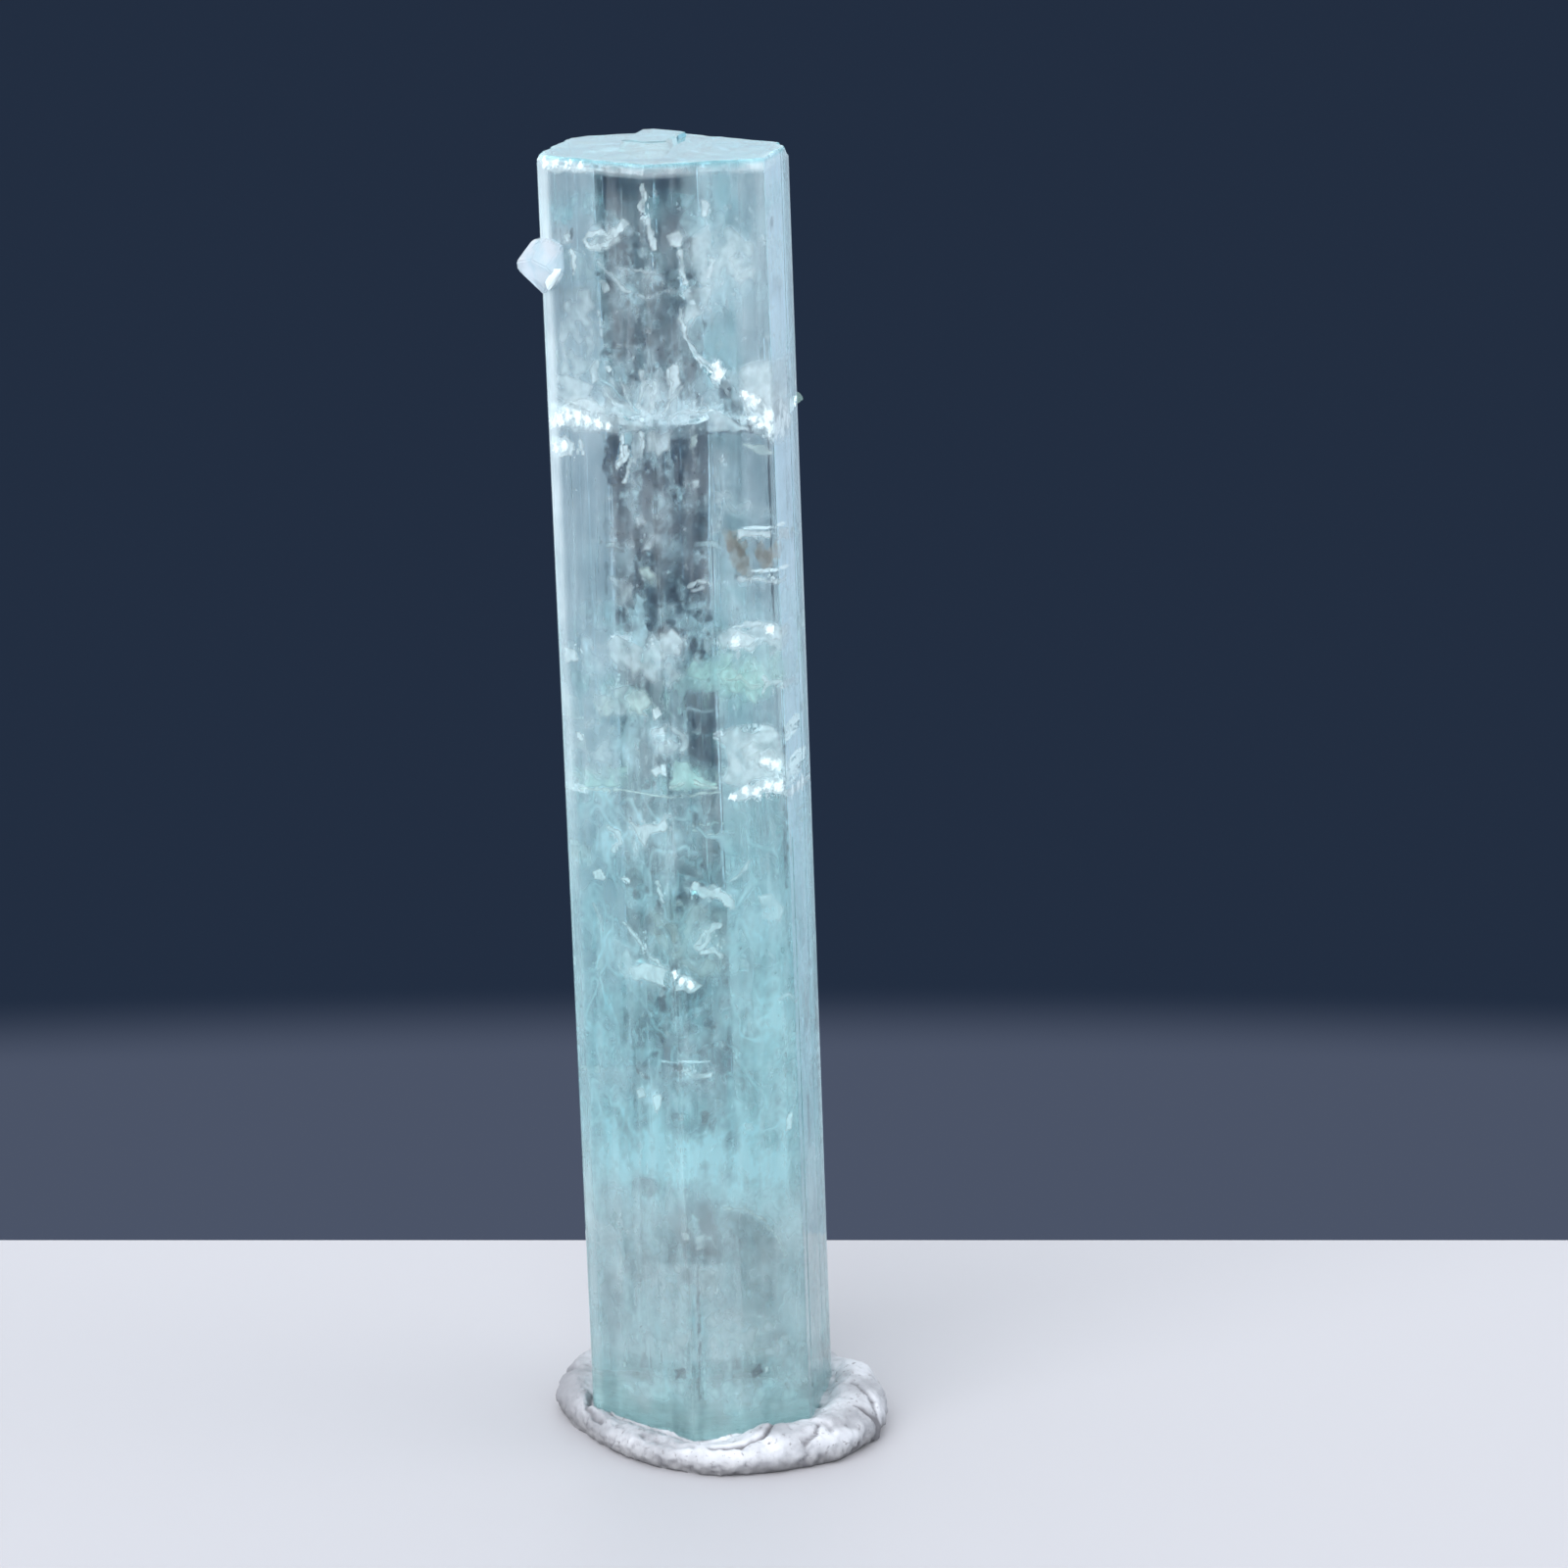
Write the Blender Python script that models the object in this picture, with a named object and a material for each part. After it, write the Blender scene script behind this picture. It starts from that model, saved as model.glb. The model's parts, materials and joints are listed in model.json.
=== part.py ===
"""Green beryl crystal standing in a pad of display putty.

The crystal is one six-sided prism with a flat end. As on natural crystals, its six faces turn by
exactly 60 degrees from one to the next but lie at different distances from the axis, carry long
shallow growth strips, and end in a low growth plate with a chipped rim. A small stubby crystal and a
grain have grown on its sides. The broken base isn't quite square to the prism, so the crystal leans
a little to the left and back, and a hand-rolled pad of putty steadies its foot.

Frame: +Z up, the origin in the middle of the putty's flat underside, under the crystal's axis.
The front, -Y, looks at the crystal's front edge. Azimuths turn from the front towards +X.
"""

import math
import random

import bmesh
import bpy
from mathutils import Vector

MM = 0.001

# Prism
CRYSTAL_LENGTH = 60.85 * MM
FOOT_HEIGHT = 1.1 * MM  # the base's height above the putty's underside
LEAN_LEFT = math.radians(2.07)
LEAN_BACK = math.radians(2.6)
SPREAD = 0.008  # how much wider the prism is at its end than at its foot
FIRST_FACE_AZIMUTH = 18.0  # degrees; the others follow at 60 degree turns
FACE_TURN = 60.0
FACE_DISTANCES = [d * MM for d in (5.67, 5.48, 4.61, 5.91, 5.43, 5.22)]
EDGE_FLATS = [w * MM for w in (0.20, 0.80, 0.30, 0.40, 1.00, 0.12)]  # after faces 1 to 6

# Growth strips: (face, start and end as shares of the face's width, first level, last level, relief)
STRIP_RISER = 0.09 * MM
GROWTH_LEVELS = [h * MM for h in (8.7, 21.0, 30.8, 47.9, 55.5)]
GROWTH_STRIPS = (
    (0, 0.30, 0.46, 0, 3, 0.05 * MM),
    (0, 0.70, 0.76, 1, 5, -0.04 * MM),
    (1, 0.66, 0.78, 0, 5, -0.06 * MM),
    (2, 0.15, 0.40, 1, 4, 0.07 * MM),
    (2, 0.62, 0.74, 0, 2, 0.05 * MM),
    (3, 0.30, 0.62, 2, 5, 0.06 * MM),
    (4, 0.20, 0.34, 0, 3, -0.05 * MM),
    (4, 0.55, 0.80, 1, 5, 0.07 * MM),
    (5, 0.14, 0.30, 3, 5, 0.05 * MM),
    (5, 0.52, 0.72, 0, 2, 0.06 * MM),
)

# Flat end
END_LEAN_LEFT = math.radians(1.0)
RIM_HEIGHT = 0.45 * MM
RIM_SETBACKS = [s * MM for s in (0.16, 0.12, 0.14, 0.12, 0.18, 0.24)]
PLATE_HEIGHT = 0.25 * MM
PLATE_MIDDLE = Vector((-0.60, 2.75)) * MM
PLATE_REACHES = [r * MM for r in (2.5, 1.25, 2.2, 2.75, 1.1, 2.2)]

# Small crystal on the left front edge: corners from a point on that edge, +X right, +Y back, +Z up
KNOB_HEIGHT = 55.75 * MM  # above the base
KNOB_CORNERS = (
    (0.15, -0.70, 1.45),
    (1.10, -1.36, 1.24),
    (1.18, -1.42, 0.05),
    (0.88, -1.24, -0.55),
    (0.30, -0.84, -0.84),
    (-0.30, -0.42, 0.98),
    (-0.48, -0.22, -0.36),
    (-1.14, 0.25, 0.16),
    (-1.10, 0.35, -0.20),
    (-0.76, 0.10, 0.66),
    (-0.38, 0.20, 1.20),
    (-0.12, 0.10, -1.02),
    (0.16, 0.00, -1.36),
    (-0.35, 1.25, 0.68),
    (-0.45, 1.15, -0.40),
    (0.00, 1.00, -0.90),
    (0.05, 1.00, 1.20),
    (1.20, 0.90, 0.60),
    (1.20, 0.80, -0.50),
    (0.90, -0.40, 1.35),
    (0.90, -0.30, -0.90),
)
GRAIN_HEIGHT = 48.7 * MM
GRAIN_RADII = Vector((0.26, 0.26, 0.32)) * MM

# Chips along the rim and the base: (azimuth, height from the base, how far in the cutter reaches, radius)
CHIPS = (
    (284.0, 61.0, 0.26, 1.5),
    (98.0, 60.6, 0.34, 1.3),
    (330.0, 61.0, 0.12, 0.8),
    (20.0, 61.0, 0.10, 1.1),
    (150.0, 60.9, 0.22, 1.2),
    (222.0, 60.9, 0.30, 1.4),
    (228.0, 0.0, 0.45, 1.3),
)

# Putty pad: (azimuth, how far the pad reaches from the axis in mm, height of its rolled rim in mm)
PUTTY_GAP = 0.3 * MM
PUTTY_SPOKES = 72
PUTTY_BULGE_STEPS = 7
PUTTY_RIM = (
    (4.0, 8.25, 1.30),
    (26.0, 8.45, 1.95),
    (48.0, 8.75, 1.95),
    (66.0, 8.65, 2.05),
    (80.0, 8.50, 2.25),
    (95.0, 8.15, 2.35),
    (118.0, 7.55, 2.10),
    (150.0, 7.35, 1.80),
    (180.0, 7.55, 1.80),
    (210.0, 7.85, 1.85),
    (238.0, 8.05, 1.95),
    (262.0, 7.75, 1.85),
    (280.0, 7.15, 1.55),
    (292.0, 6.75, 1.35),
    (306.0, 6.80, 1.28),
    (322.0, 7.05, 1.25),
    (344.0, 7.65, 1.25),
)


def direction(azimuth):
    """The level unit vector at an azimuth in degrees, turning from the front towards +X."""
    turn = math.radians(azimuth)
    return Vector((math.sin(turn), -math.cos(turn)))


def face_azimuth(face):
    return FIRST_FACE_AZIMUTH + FACE_TURN * face


def corner(distances, face):
    """Where a face's line meets the next face's, seen from above."""
    first, second = direction(face_azimuth(face)), direction(face_azimuth(face + 1))
    h1, h2 = distances[face % 6], distances[(face + 1) % 6]
    cross = first.x * second.y - first.y * second.x
    return Vector((h1 * second.y - h2 * first.y, h2 * first.x - h1 * second.x)) / cross


def strips_on(face):
    return [strip for strip in GROWTH_STRIPS if strip[0] == face]


def section(distances, level, height):
    """The prism's outline, seen from above: six faces, the narrow flats between them, and the growth
    strips, which have their relief from their first growth level to their last one."""
    distances = [d * (1 + SPREAD * height / CRYSTAL_LENGTH) for d in distances]
    outline = []
    for face in range(6):
        outward = direction(face_azimuth(face))
        back_off = EDGE_FLATS[face - 1] / math.sqrt(3)
        ahead_off = EDGE_FLATS[face] / math.sqrt(3)
        start, end = corner(distances, face - 1), corner(distances, face)
        along = (end - start).normalized()
        start, end = start + along * back_off, end - along * ahead_off
        outline.append(start)
        for _, low, high, first, last, relief in strips_on(face):
            rise = outward * (relief if first <= level < last else 0.0)
            step = along * STRIP_RISER
            left, right = start.lerp(end, low), start.lerp(end, high)
            outline += [left, left + step + rise, right - step + rise, right]
        outline.append(end)
    return outline


def leaning(left, back):
    """The unit vector that leans from the vertical by these angles to the left and to the back."""
    return Vector((-math.tan(left), math.tan(back), 1.0)).normalized()


def on_prism(place, height, end_plane=False):
    """A point of the section, carried up along the leaning axis to the plane at this height. The plane
    is square to the axis, or for the flat end is the end's own plane."""
    axis = leaning(LEAN_LEFT, LEAN_BACK)
    normal = leaning(END_LEAN_LEFT, LEAN_BACK) if end_plane else axis
    place = Vector((place.x, place.y, 0.0))
    travel = (height * normal.dot(axis) - normal.dot(place)) / normal.dot(axis)
    return place + axis * travel + Vector((0.0, 0.0, FOOT_HEIGHT))


def prism_rings():
    """The prism's rings of corners from the base to the flat end."""
    base = [Vector((p.x, p.y, FOOT_HEIGHT)) for p in section(FACE_DISTANCES, 0, 0.0)]
    rings = [base]
    for level, height in enumerate(GROWTH_LEVELS):
        below = section(FACE_DISTANCES, level, height)
        above = section(FACE_DISTANCES, level + 1, height)
        rings.append([on_prism(p, height - STRIP_RISER) for p in below])
        rings.append([on_prism(p, height + STRIP_RISER) for p in above])
    last, end = len(GROWTH_LEVELS), CRYSTAL_LENGTH
    rim = section(FACE_DISTANCES, last, end)
    rings.append([on_prism(p, end - RIM_HEIGHT, end_plane=True) for p in rim])
    inner = [d - setback for d, setback in zip(FACE_DISTANCES, RIM_SETBACKS)]
    rings.append([on_prism(p, end, end_plane=True) for p in section(inner, last, end)])
    return rings


def object_from(bm, name):
    bmesh.ops.recalc_face_normals(bm, faces=bm.faces)
    mesh = bpy.data.meshes.new(name)
    bm.to_mesh(mesh)
    bm.free()
    made = bpy.data.objects.new(name, mesh)
    bpy.context.scene.collection.objects.link(made)
    return made


def loft(rings, name):
    """A closed body through rings that have the same number of points."""
    bm = bmesh.new()
    grid = [[bm.verts.new(p) for p in ring] for ring in rings]
    count = len(grid[0])
    for lower, upper in zip(grid, grid[1:]):
        for i in range(count):
            j = (i + 1) % count
            bm.faces.new((lower[i], lower[j], upper[j], upper[i]))
    bm.faces.new(reversed(grid[0]))
    bm.faces.new(grid[-1])
    return object_from(bm, name)


def hull(points, name):
    bm = bmesh.new()
    for point in points:
        bm.verts.new(point)
    made = bmesh.ops.convex_hull(bm, input=bm.verts)
    inside = {g for g in made["geom_unused"] + made["geom_interior"] if isinstance(g, bmesh.types.BMVert)}
    bmesh.ops.delete(bm, geom=list(inside), context="VERTS")
    return object_from(bm, name)


def growth_plate():
    """The low plate on the flat end, its edges in line with the prism's faces."""
    corners = []
    for face in range(6):
        at = PLATE_MIDDLE + corner(PLATE_REACHES, face)
        corners.append(at)
    low = [on_prism(p, CRYSTAL_LENGTH - PLATE_HEIGHT, end_plane=True) for p in corners]
    inner = [PLATE_MIDDLE.lerp(p, 0.93) for p in corners]
    high = [on_prism(p, CRYSTAL_LENGTH + PLATE_HEIGHT, end_plane=True) for p in inner]
    return loft([low, high], "growth_plate_former")


def small_crystal():
    """The stubby crystal that grew on the left front edge."""
    edge = corner(FACE_DISTANCES, 4)
    root = on_prism(edge, KNOB_HEIGHT)
    return hull([root + Vector(c) * MM for c in KNOB_CORNERS], "small_crystal_former")


def grain():
    """The tiny grain on the right back edge, with flat sides."""
    root = on_prism(corner(FACE_DISTANCES, 1), GRAIN_HEIGHT)
    bm = bmesh.new()
    bmesh.ops.create_icosphere(bm, subdivisions=1, radius=1.0)
    for vert in bm.verts:
        vert.co = root + Vector([c * r for c, r in zip(vert.co, GRAIN_RADII)])
    return object_from(bm, "grain_former")


def chip(number, azimuth, height, reach, radius):
    """A rough ball that knocks a shelly chip off the crystal's edge at this azimuth and height."""
    draw = random.Random(number)
    way = direction(azimuth)
    edge = way * min(
        d / max(way.dot(direction(face_azimuth(f))), 0.2) for f, d in enumerate(FACE_DISTANCES)
    )
    middle = edge + way * (radius - reach) * MM * 0.7
    lift = (radius - reach) * 0.7 * (1 if height > 0 else -1)
    centre = on_prism(middle, (height + lift) * MM)
    bm = bmesh.new()
    bmesh.ops.create_icosphere(bm, subdivisions=2, radius=radius * MM)
    for vert in bm.verts:
        vert.co = centre + vert.co * draw.uniform(0.94, 1.06)
    return object_from(bm, f"chip_{number}")


def combine(body, other, operation):
    """Joins other to body, or cuts it away, and leaves other as a hidden helper."""
    modifier = body.modifiers.new(other.name, "BOOLEAN")
    modifier.operation = operation
    modifier.solver = "EXACT"
    modifier.object = other
    other.hide_render = True
    other.display_type = "WIRE"


def crystal():
    body = loft(prism_rings(), "crystal")
    combine(body, growth_plate(), "UNION")
    for number, (azimuth, height, reach, radius) in enumerate(CHIPS):
        combine(body, chip(number, azimuth, height, reach, radius), "DIFFERENCE")
    combine(body, small_crystal(), "UNION")
    combine(body, grain(), "UNION")
    return body


def foot_reach(azimuth):
    """How far the crystal's base reaches from the axis at this azimuth."""
    way = direction(azimuth)
    return min(
        d / c
        for f, d in enumerate(FACE_DISTANCES)
        if (c := way.dot(direction(face_azimuth(f)))) > 0.1
    )


def rim_at(azimuth):
    """The pad's reach and rim height at an azimuth, eased between the rows of PUTTY_RIM."""
    rows = [(PUTTY_RIM[-1][0] - 360.0, *PUTTY_RIM[-1][1:]), *PUTTY_RIM]
    rows.append((PUTTY_RIM[0][0] + 360.0, *PUTTY_RIM[0][1:]))
    for before, after in zip(rows, rows[1:]):
        if before[0] <= azimuth <= after[0]:
            share = (azimuth - before[0]) / (after[0] - before[0])
            share = share * share * (3 - 2 * share)
            reach = before[1] + (after[1] - before[1]) * share
            crest = before[2] + (after[2] - before[2]) * share
            return reach * MM, crest * MM
    raise ValueError(f"no rim at {azimuth} degrees")


def putty_spoke(azimuth):
    """The pad's cross-section at an azimuth, from the pocket's floor over the rolled rim to the ground."""
    way = direction(azimuth)
    outer, crest = rim_at(azimuth)
    inner = foot_reach(azimuth) + PUTTY_GAP
    floor = FOOT_HEIGHT - PUTTY_GAP
    rim_middle = 0.5 * (inner + outer)
    half_width = 0.5 * (outer - inner)
    spoke = [(inner, floor), (inner + 0.05 * half_width, 0.4 * floor + 0.6 * crest)]
    for step in range(1, PUTTY_BULGE_STEPS):
        turn = math.pi * (0.82 - step / PUTTY_BULGE_STEPS)
        out = rim_middle + half_width * math.cos(turn)
        up = crest * (0.42 + 0.58 * math.sin(turn))
        spoke.append((out, max(up, 0.12 * MM)))
    spoke.append((outer - 0.22 * half_width, 0.0))
    return [Vector((way.x * out, way.y * out, up)) for out, up in spoke]


def putty_pad():
    """The pad: a pocket under the crystal's foot, a rolled rim around it and a flat underside."""
    bm = bmesh.new()
    spokes = []
    for i in range(PUTTY_SPOKES):
        spokes.append([bm.verts.new(p) for p in putty_spoke(360.0 * i / PUTTY_SPOKES)])
    for i, spoke in enumerate(spokes):
        following = spokes[(i + 1) % PUTTY_SPOKES]
        for k in range(len(spoke) - 1):
            bm.faces.new((spoke[k], spoke[k + 1], following[k + 1], following[k]))
    bm.faces.new([spoke[0] for spoke in spokes])
    bm.faces.new([spoke[-1] for spoke in spokes])
    pad = object_from(bm, "putty_pad")
    pad.data.shade_smooth()
    pad.data.set_sharp_from_angle(angle=math.radians(50))
    return pad


def beryl():
    material = bpy.data.materials.new("green_beryl")
    material.use_nodes = True
    shader = material.node_tree.nodes["Principled BSDF"]
    shader.inputs["Base Color"].default_value = (0.62, 0.86, 0.86, 1.0)
    shader.inputs["Roughness"].default_value = 0.06
    shader.inputs["IOR"].default_value = 1.577
    shader.inputs["Transmission Weight"].default_value = 1.0
    return material


def putty():
    material = bpy.data.materials.new("white_putty")
    material.use_nodes = True
    shader = material.node_tree.nodes["Principled BSDF"]
    shader.inputs["Base Color"].default_value = (0.80, 0.80, 0.83, 1.0)
    shader.inputs["Roughness"].default_value = 0.62
    return material


def main():
    for old in list(bpy.data.objects):
        bpy.data.objects.remove(old)
    crystal().data.materials.append(beryl())
    putty_pad().data.materials.append(putty())


main()
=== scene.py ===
# %% [markdown]
# # A green beryl crystal in a pad of putty
#
# This lesson dresses one CAD part: a finger-long natural beryl prism whose foot is pressed into a
# hand-rolled pad of display putty. A clear crystal looks like whatever its faces bend and mirror, so
# three things have to be right together: the faces, what has grown or cracked inside, and the light.
#
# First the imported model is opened. It is the fixed frame: every piece that is made below sits on it.

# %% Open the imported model
import json
import math
import random

import bmesh
import bpy
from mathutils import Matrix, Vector, noise

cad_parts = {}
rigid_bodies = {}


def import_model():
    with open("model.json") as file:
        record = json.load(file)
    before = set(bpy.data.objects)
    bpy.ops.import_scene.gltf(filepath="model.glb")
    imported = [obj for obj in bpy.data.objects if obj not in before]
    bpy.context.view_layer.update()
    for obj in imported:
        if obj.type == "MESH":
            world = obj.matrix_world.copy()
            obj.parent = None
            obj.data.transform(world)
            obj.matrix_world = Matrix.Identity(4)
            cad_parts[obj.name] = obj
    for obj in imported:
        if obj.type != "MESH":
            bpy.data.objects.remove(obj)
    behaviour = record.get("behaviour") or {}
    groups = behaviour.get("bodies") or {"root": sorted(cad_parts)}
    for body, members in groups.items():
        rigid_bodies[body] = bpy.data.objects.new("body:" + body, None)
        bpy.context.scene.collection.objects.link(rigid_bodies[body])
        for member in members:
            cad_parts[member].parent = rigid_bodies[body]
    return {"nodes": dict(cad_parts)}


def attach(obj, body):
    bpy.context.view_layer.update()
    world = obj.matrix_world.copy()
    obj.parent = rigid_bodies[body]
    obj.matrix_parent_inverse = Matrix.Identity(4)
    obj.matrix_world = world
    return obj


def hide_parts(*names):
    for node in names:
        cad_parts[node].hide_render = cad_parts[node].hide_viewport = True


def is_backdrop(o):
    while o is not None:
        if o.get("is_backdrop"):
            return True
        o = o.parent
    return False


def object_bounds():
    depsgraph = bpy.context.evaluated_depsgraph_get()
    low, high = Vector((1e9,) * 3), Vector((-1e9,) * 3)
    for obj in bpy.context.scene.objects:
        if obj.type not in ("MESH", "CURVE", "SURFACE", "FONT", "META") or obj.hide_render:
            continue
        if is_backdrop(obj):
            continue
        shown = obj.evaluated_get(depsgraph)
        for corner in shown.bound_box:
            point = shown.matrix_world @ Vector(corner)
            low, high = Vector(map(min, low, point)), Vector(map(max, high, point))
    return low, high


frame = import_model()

MM = 0.001
cad_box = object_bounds()
scene = bpy.context.scene
print("CAD nodes:", sorted(frame["nodes"]))
print("box in mm:", [[round(v / MM, 2) for v in c] for c in cad_box])

# %% [markdown]
# ## Camera
#
# A long lens a foot away looks a little down on the crystal, as one looks at a small thing on a
# shelf. It is given in millimetres for a 36 mm sensor. The camera itself is moved until the crystal
# sits where it should in the picture, so the lens needs no shift.

# %% Place the camera
CAMERA_PLACE = (0.0034, -0.2906, 0.1125)
CAMERA_PITCH = math.radians(15.5)
LENS, SENSOR_WIDTH = 146.25, 36.0  # in mm
NEAREST_SEEN = 0.005


def make_camera():
    lens = bpy.data.cameras.new("camera")
    lens.sensor_width = SENSOR_WIDTH
    lens.lens = LENS
    lens.clip_start = NEAREST_SEEN
    camera = bpy.data.objects.new("camera", lens)
    camera.location = CAMERA_PLACE
    camera.rotation_euler = (math.pi / 2 - CAMERA_PITCH, 0.0, 0.0)
    scene.collection.objects.link(camera)
    scene.camera = camera


make_camera()
print("camera looks down by", round(math.degrees(CAMERA_PITCH), 1), "degrees")

# %% [markdown]
# ## How many bounces
#
# Light goes in through a face, is mirrored by others and meets cracks on its way, so it needs far
# more bounces than an opaque thing. Too few show as black patches in the glass.

# %% Let light find its way through
scene.view_settings.view_transform = "Standard"
scene.cycles.max_bounces = 28
scene.cycles.transmission_bounces = 24
scene.cycles.glossy_bounces = 16
scene.cycles.diffuse_bounces = 4
scene.cycles.transparent_max_bounces = 64
print("bounces through glass:", scene.cycles.transmission_bounces)

# %% [markdown]
# ## Helpers for node materials
#
# Every finish below is a small tree of nodes. These helpers add a node, set its plain values and
# link its inputs in one line, which keeps the cells short.

# %% Helpers for nodes
def node(tree, kind, settings=None, **inputs):
    """Adds a node, sets its properties and fills its inputs with values or other nodes' sockets."""
    made = tree.nodes.new(kind)
    for name, value in (settings or {}).items():
        setattr(made, name, value)
    for name, value in inputs.items():
        socket = made.inputs[int(name[1:])] if name[0] == "_" else made.inputs[name.replace("_", " ")]
        if isinstance(value, bpy.types.NodeSocket):
            tree.links.new(value, socket)
        else:
            socket.default_value = value
    return made


def math_node(tree, operation, first, second=0.0):
    return node(tree, "ShaderNodeMath", {"operation": operation}, _0=first, _1=second).outputs[0]


def eased(tree, value, start, end):
    """0 before start and 1 after end, with a soft step between."""
    made = node(tree, "ShaderNodeMapRange", {"interpolation_type": "SMOOTHSTEP"}, Value=value)
    made.inputs["From Min"].default_value = start
    made.inputs["From Max"].default_value = end
    return made.outputs["Result"]


def blend(tree, share, first, second):
    """Mixes two colours, each a socket or three numbers."""
    made = node(tree, "ShaderNodeMix", {"data_type": "RGBA"}, Factor=share)
    for colour, socket in ((first, made.inputs[6]), (second, made.inputs[7])):
        if isinstance(colour, bpy.types.NodeSocket):
            tree.links.new(colour, socket)
        else:
            socket.default_value = (*colour, 1.0)
    return made.outputs[2]


def ramp(tree, value, stops):
    """A colour ramp through (place, colour) stops."""
    made = node(tree, "ShaderNodeValToRGB", Fac=value)
    elements = made.color_ramp.elements
    while len(elements) < len(stops):
        elements.new(0.5)
    for element, (place, colour) in zip(elements, stops):
        element.position = place
        element.color = (*colour, 1.0)
    return made.outputs["Color"]


print("node helpers ready")


# %% Helpers for whole finishes
def finish(name):
    """A new material with its tree and its Principled shader."""
    material = bpy.data.materials.new(name)
    material.use_nodes = True
    return material, material.node_tree, material.node_tree.nodes["Principled BSDF"]


def object_place(tree):
    return node(tree, "ShaderNodeTexCoord").outputs["Object"]


def height_of(tree, place):
    return node(tree, "ShaderNodeSeparateXYZ", _0=place).outputs["Z"]


def marked(tree, name):
    """A number that was stored on the mesh's points under this name."""
    return node(tree, "ShaderNodeAttribute", {"attribute_name": name}).outputs["Fac"]


def clamped(tree, operation, first, second):
    """A sum or product that stays between 0 and 1."""
    settings = {"operation": operation, "use_clamp": True}
    return node(tree, "ShaderNodeMath", settings, _0=first, _1=second).outputs[0]


def times(tree, first, second):
    return math_node(tree, "MULTIPLY", first, second)


def swing(tree, value, amount):
    """Turns noise round 0.5 into a swing round 0 of this amount."""
    return times(tree, math_node(tree, "SUBTRACT", value, 0.5), amount)


def stretched_noise(tree, place, across, along, detail=3.0, roughness=0.55, distortion=0.0):
    """Noise whose spots are 1/across wide and 1/along high, in metres."""
    mapped = node(tree, "ShaderNodeMapping", Vector=place, Scale=(across, across, along))
    made = node(tree, "ShaderNodeTexNoise", Vector=mapped.outputs[0], Scale=1.0, Detail=detail,
                Roughness=roughness, Distortion=distortion)
    return made.outputs["Fac"]


def mottled_finish(name, spots, colours, roughness):
    """A finish whose colour wanders between two. spots are how fine the noise is and its detail."""
    material, tree, shader = finish(name)
    mottle = stretched_noise(tree, object_place(tree), *spots)
    tree.links.new(blend(tree, mottle, *colours), shader.inputs["Base Color"])
    shader.inputs["Roughness"].default_value = roughness
    return material, shader


print("finish helpers ready")

# %% [markdown]
# ## Studio light
#
# A gem is best shown in a tent of light with a dark card behind it: the card gives the dark heart of
# the stone, and the bright walls beside and above it light up its edges and cracks. Lamps could do
# it, but a world whose colour depends on the direction is quicker to render and has less noise.
# The card here is the part of the sky straight behind the crystal and below the horizon.

# %% Directions in the sky
world = bpy.data.worlds.new("studio_tent")
scene.world = world
world.use_nodes = True
sky = world.node_tree
sky.nodes.clear()
looking = node(sky, "ShaderNodeTexCoord").outputs["Generated"]
way = node(sky, "ShaderNodeSeparateXYZ", _0=looking).outputs
rise = way["Z"]
bearing = math_node(sky, "ARCTAN2", way["X"], way["Y"])


def between(tree, value, start, full, end_full, end):
    """Rises softly from start to full and falls again from end_full to end, all in degrees."""
    rising = eased(tree, value, math.radians(start), math.radians(full))
    falling = eased(tree, value, math.radians(end_full), math.radians(end))
    return math_node(tree, "SUBTRACT", rising, falling)


print("nodes in the sky so far:", len(sky.nodes))

# %% The dark card, the walls and the roof of the tent
CARD_EDGES = (-31.0, -23.0, 13.0, 18.0)  # bearings in degrees, 0 is straight behind the crystal
CARD_COLOUR = (0.0165, 0.0275, 0.0530)
CARD_FOOT_COLOUR = (0.071, 0.089, 0.138)
CARD_FOOT, CARD_TOP, ROOF_EDGE = (-0.308, -0.297), (-0.06, 0.03), (-0.04, 0.20)  # soft steps in rise
WALLS = (  # bearing in degrees and brightness: the walls are unevenly lit
    (-180, 0.44), (-130, 0.42), (-112, 0.27), (-84, 0.27), (-64, 0.56), (-36, 0.86),
    (18, 0.54), (31, 0.50), (38, 0.32), (62, 0.31), (100, 0.36), (128, 0.46), (180, 0.44),
)
WALL_TINT = (0.90, 1.10, 1.32)
ROOF_COLOUR = (1.16, 1.22, 1.30)

card = math_node(
    sky, "MULTIPLY", between(sky, bearing, *CARD_EDGES),
    math_node(sky, "SUBTRACT", 1.0, eased(sky, rise, *CARD_TOP)),
)
round_share = math_node(sky, "ADD", times(sky, bearing, 0.5 / math.pi), 0.5)
walls = ramp(sky, round_share, [(b / 360 + 0.5, tuple(v * t for t in WALL_TINT)) for b, v in WALLS])
card_colour = blend(sky, eased(sky, rise, *CARD_FOOT), CARD_FOOT_COLOUR, CARD_COLOUR)
tent = blend(sky, eased(sky, rise, *ROOF_EDGE), walls, ROOF_COLOUR)
glow = blend(sky, card, tent, card_colour)
print("dark card", CARD_EDGES[2] - CARD_EDGES[1], "degrees wide")

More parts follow.
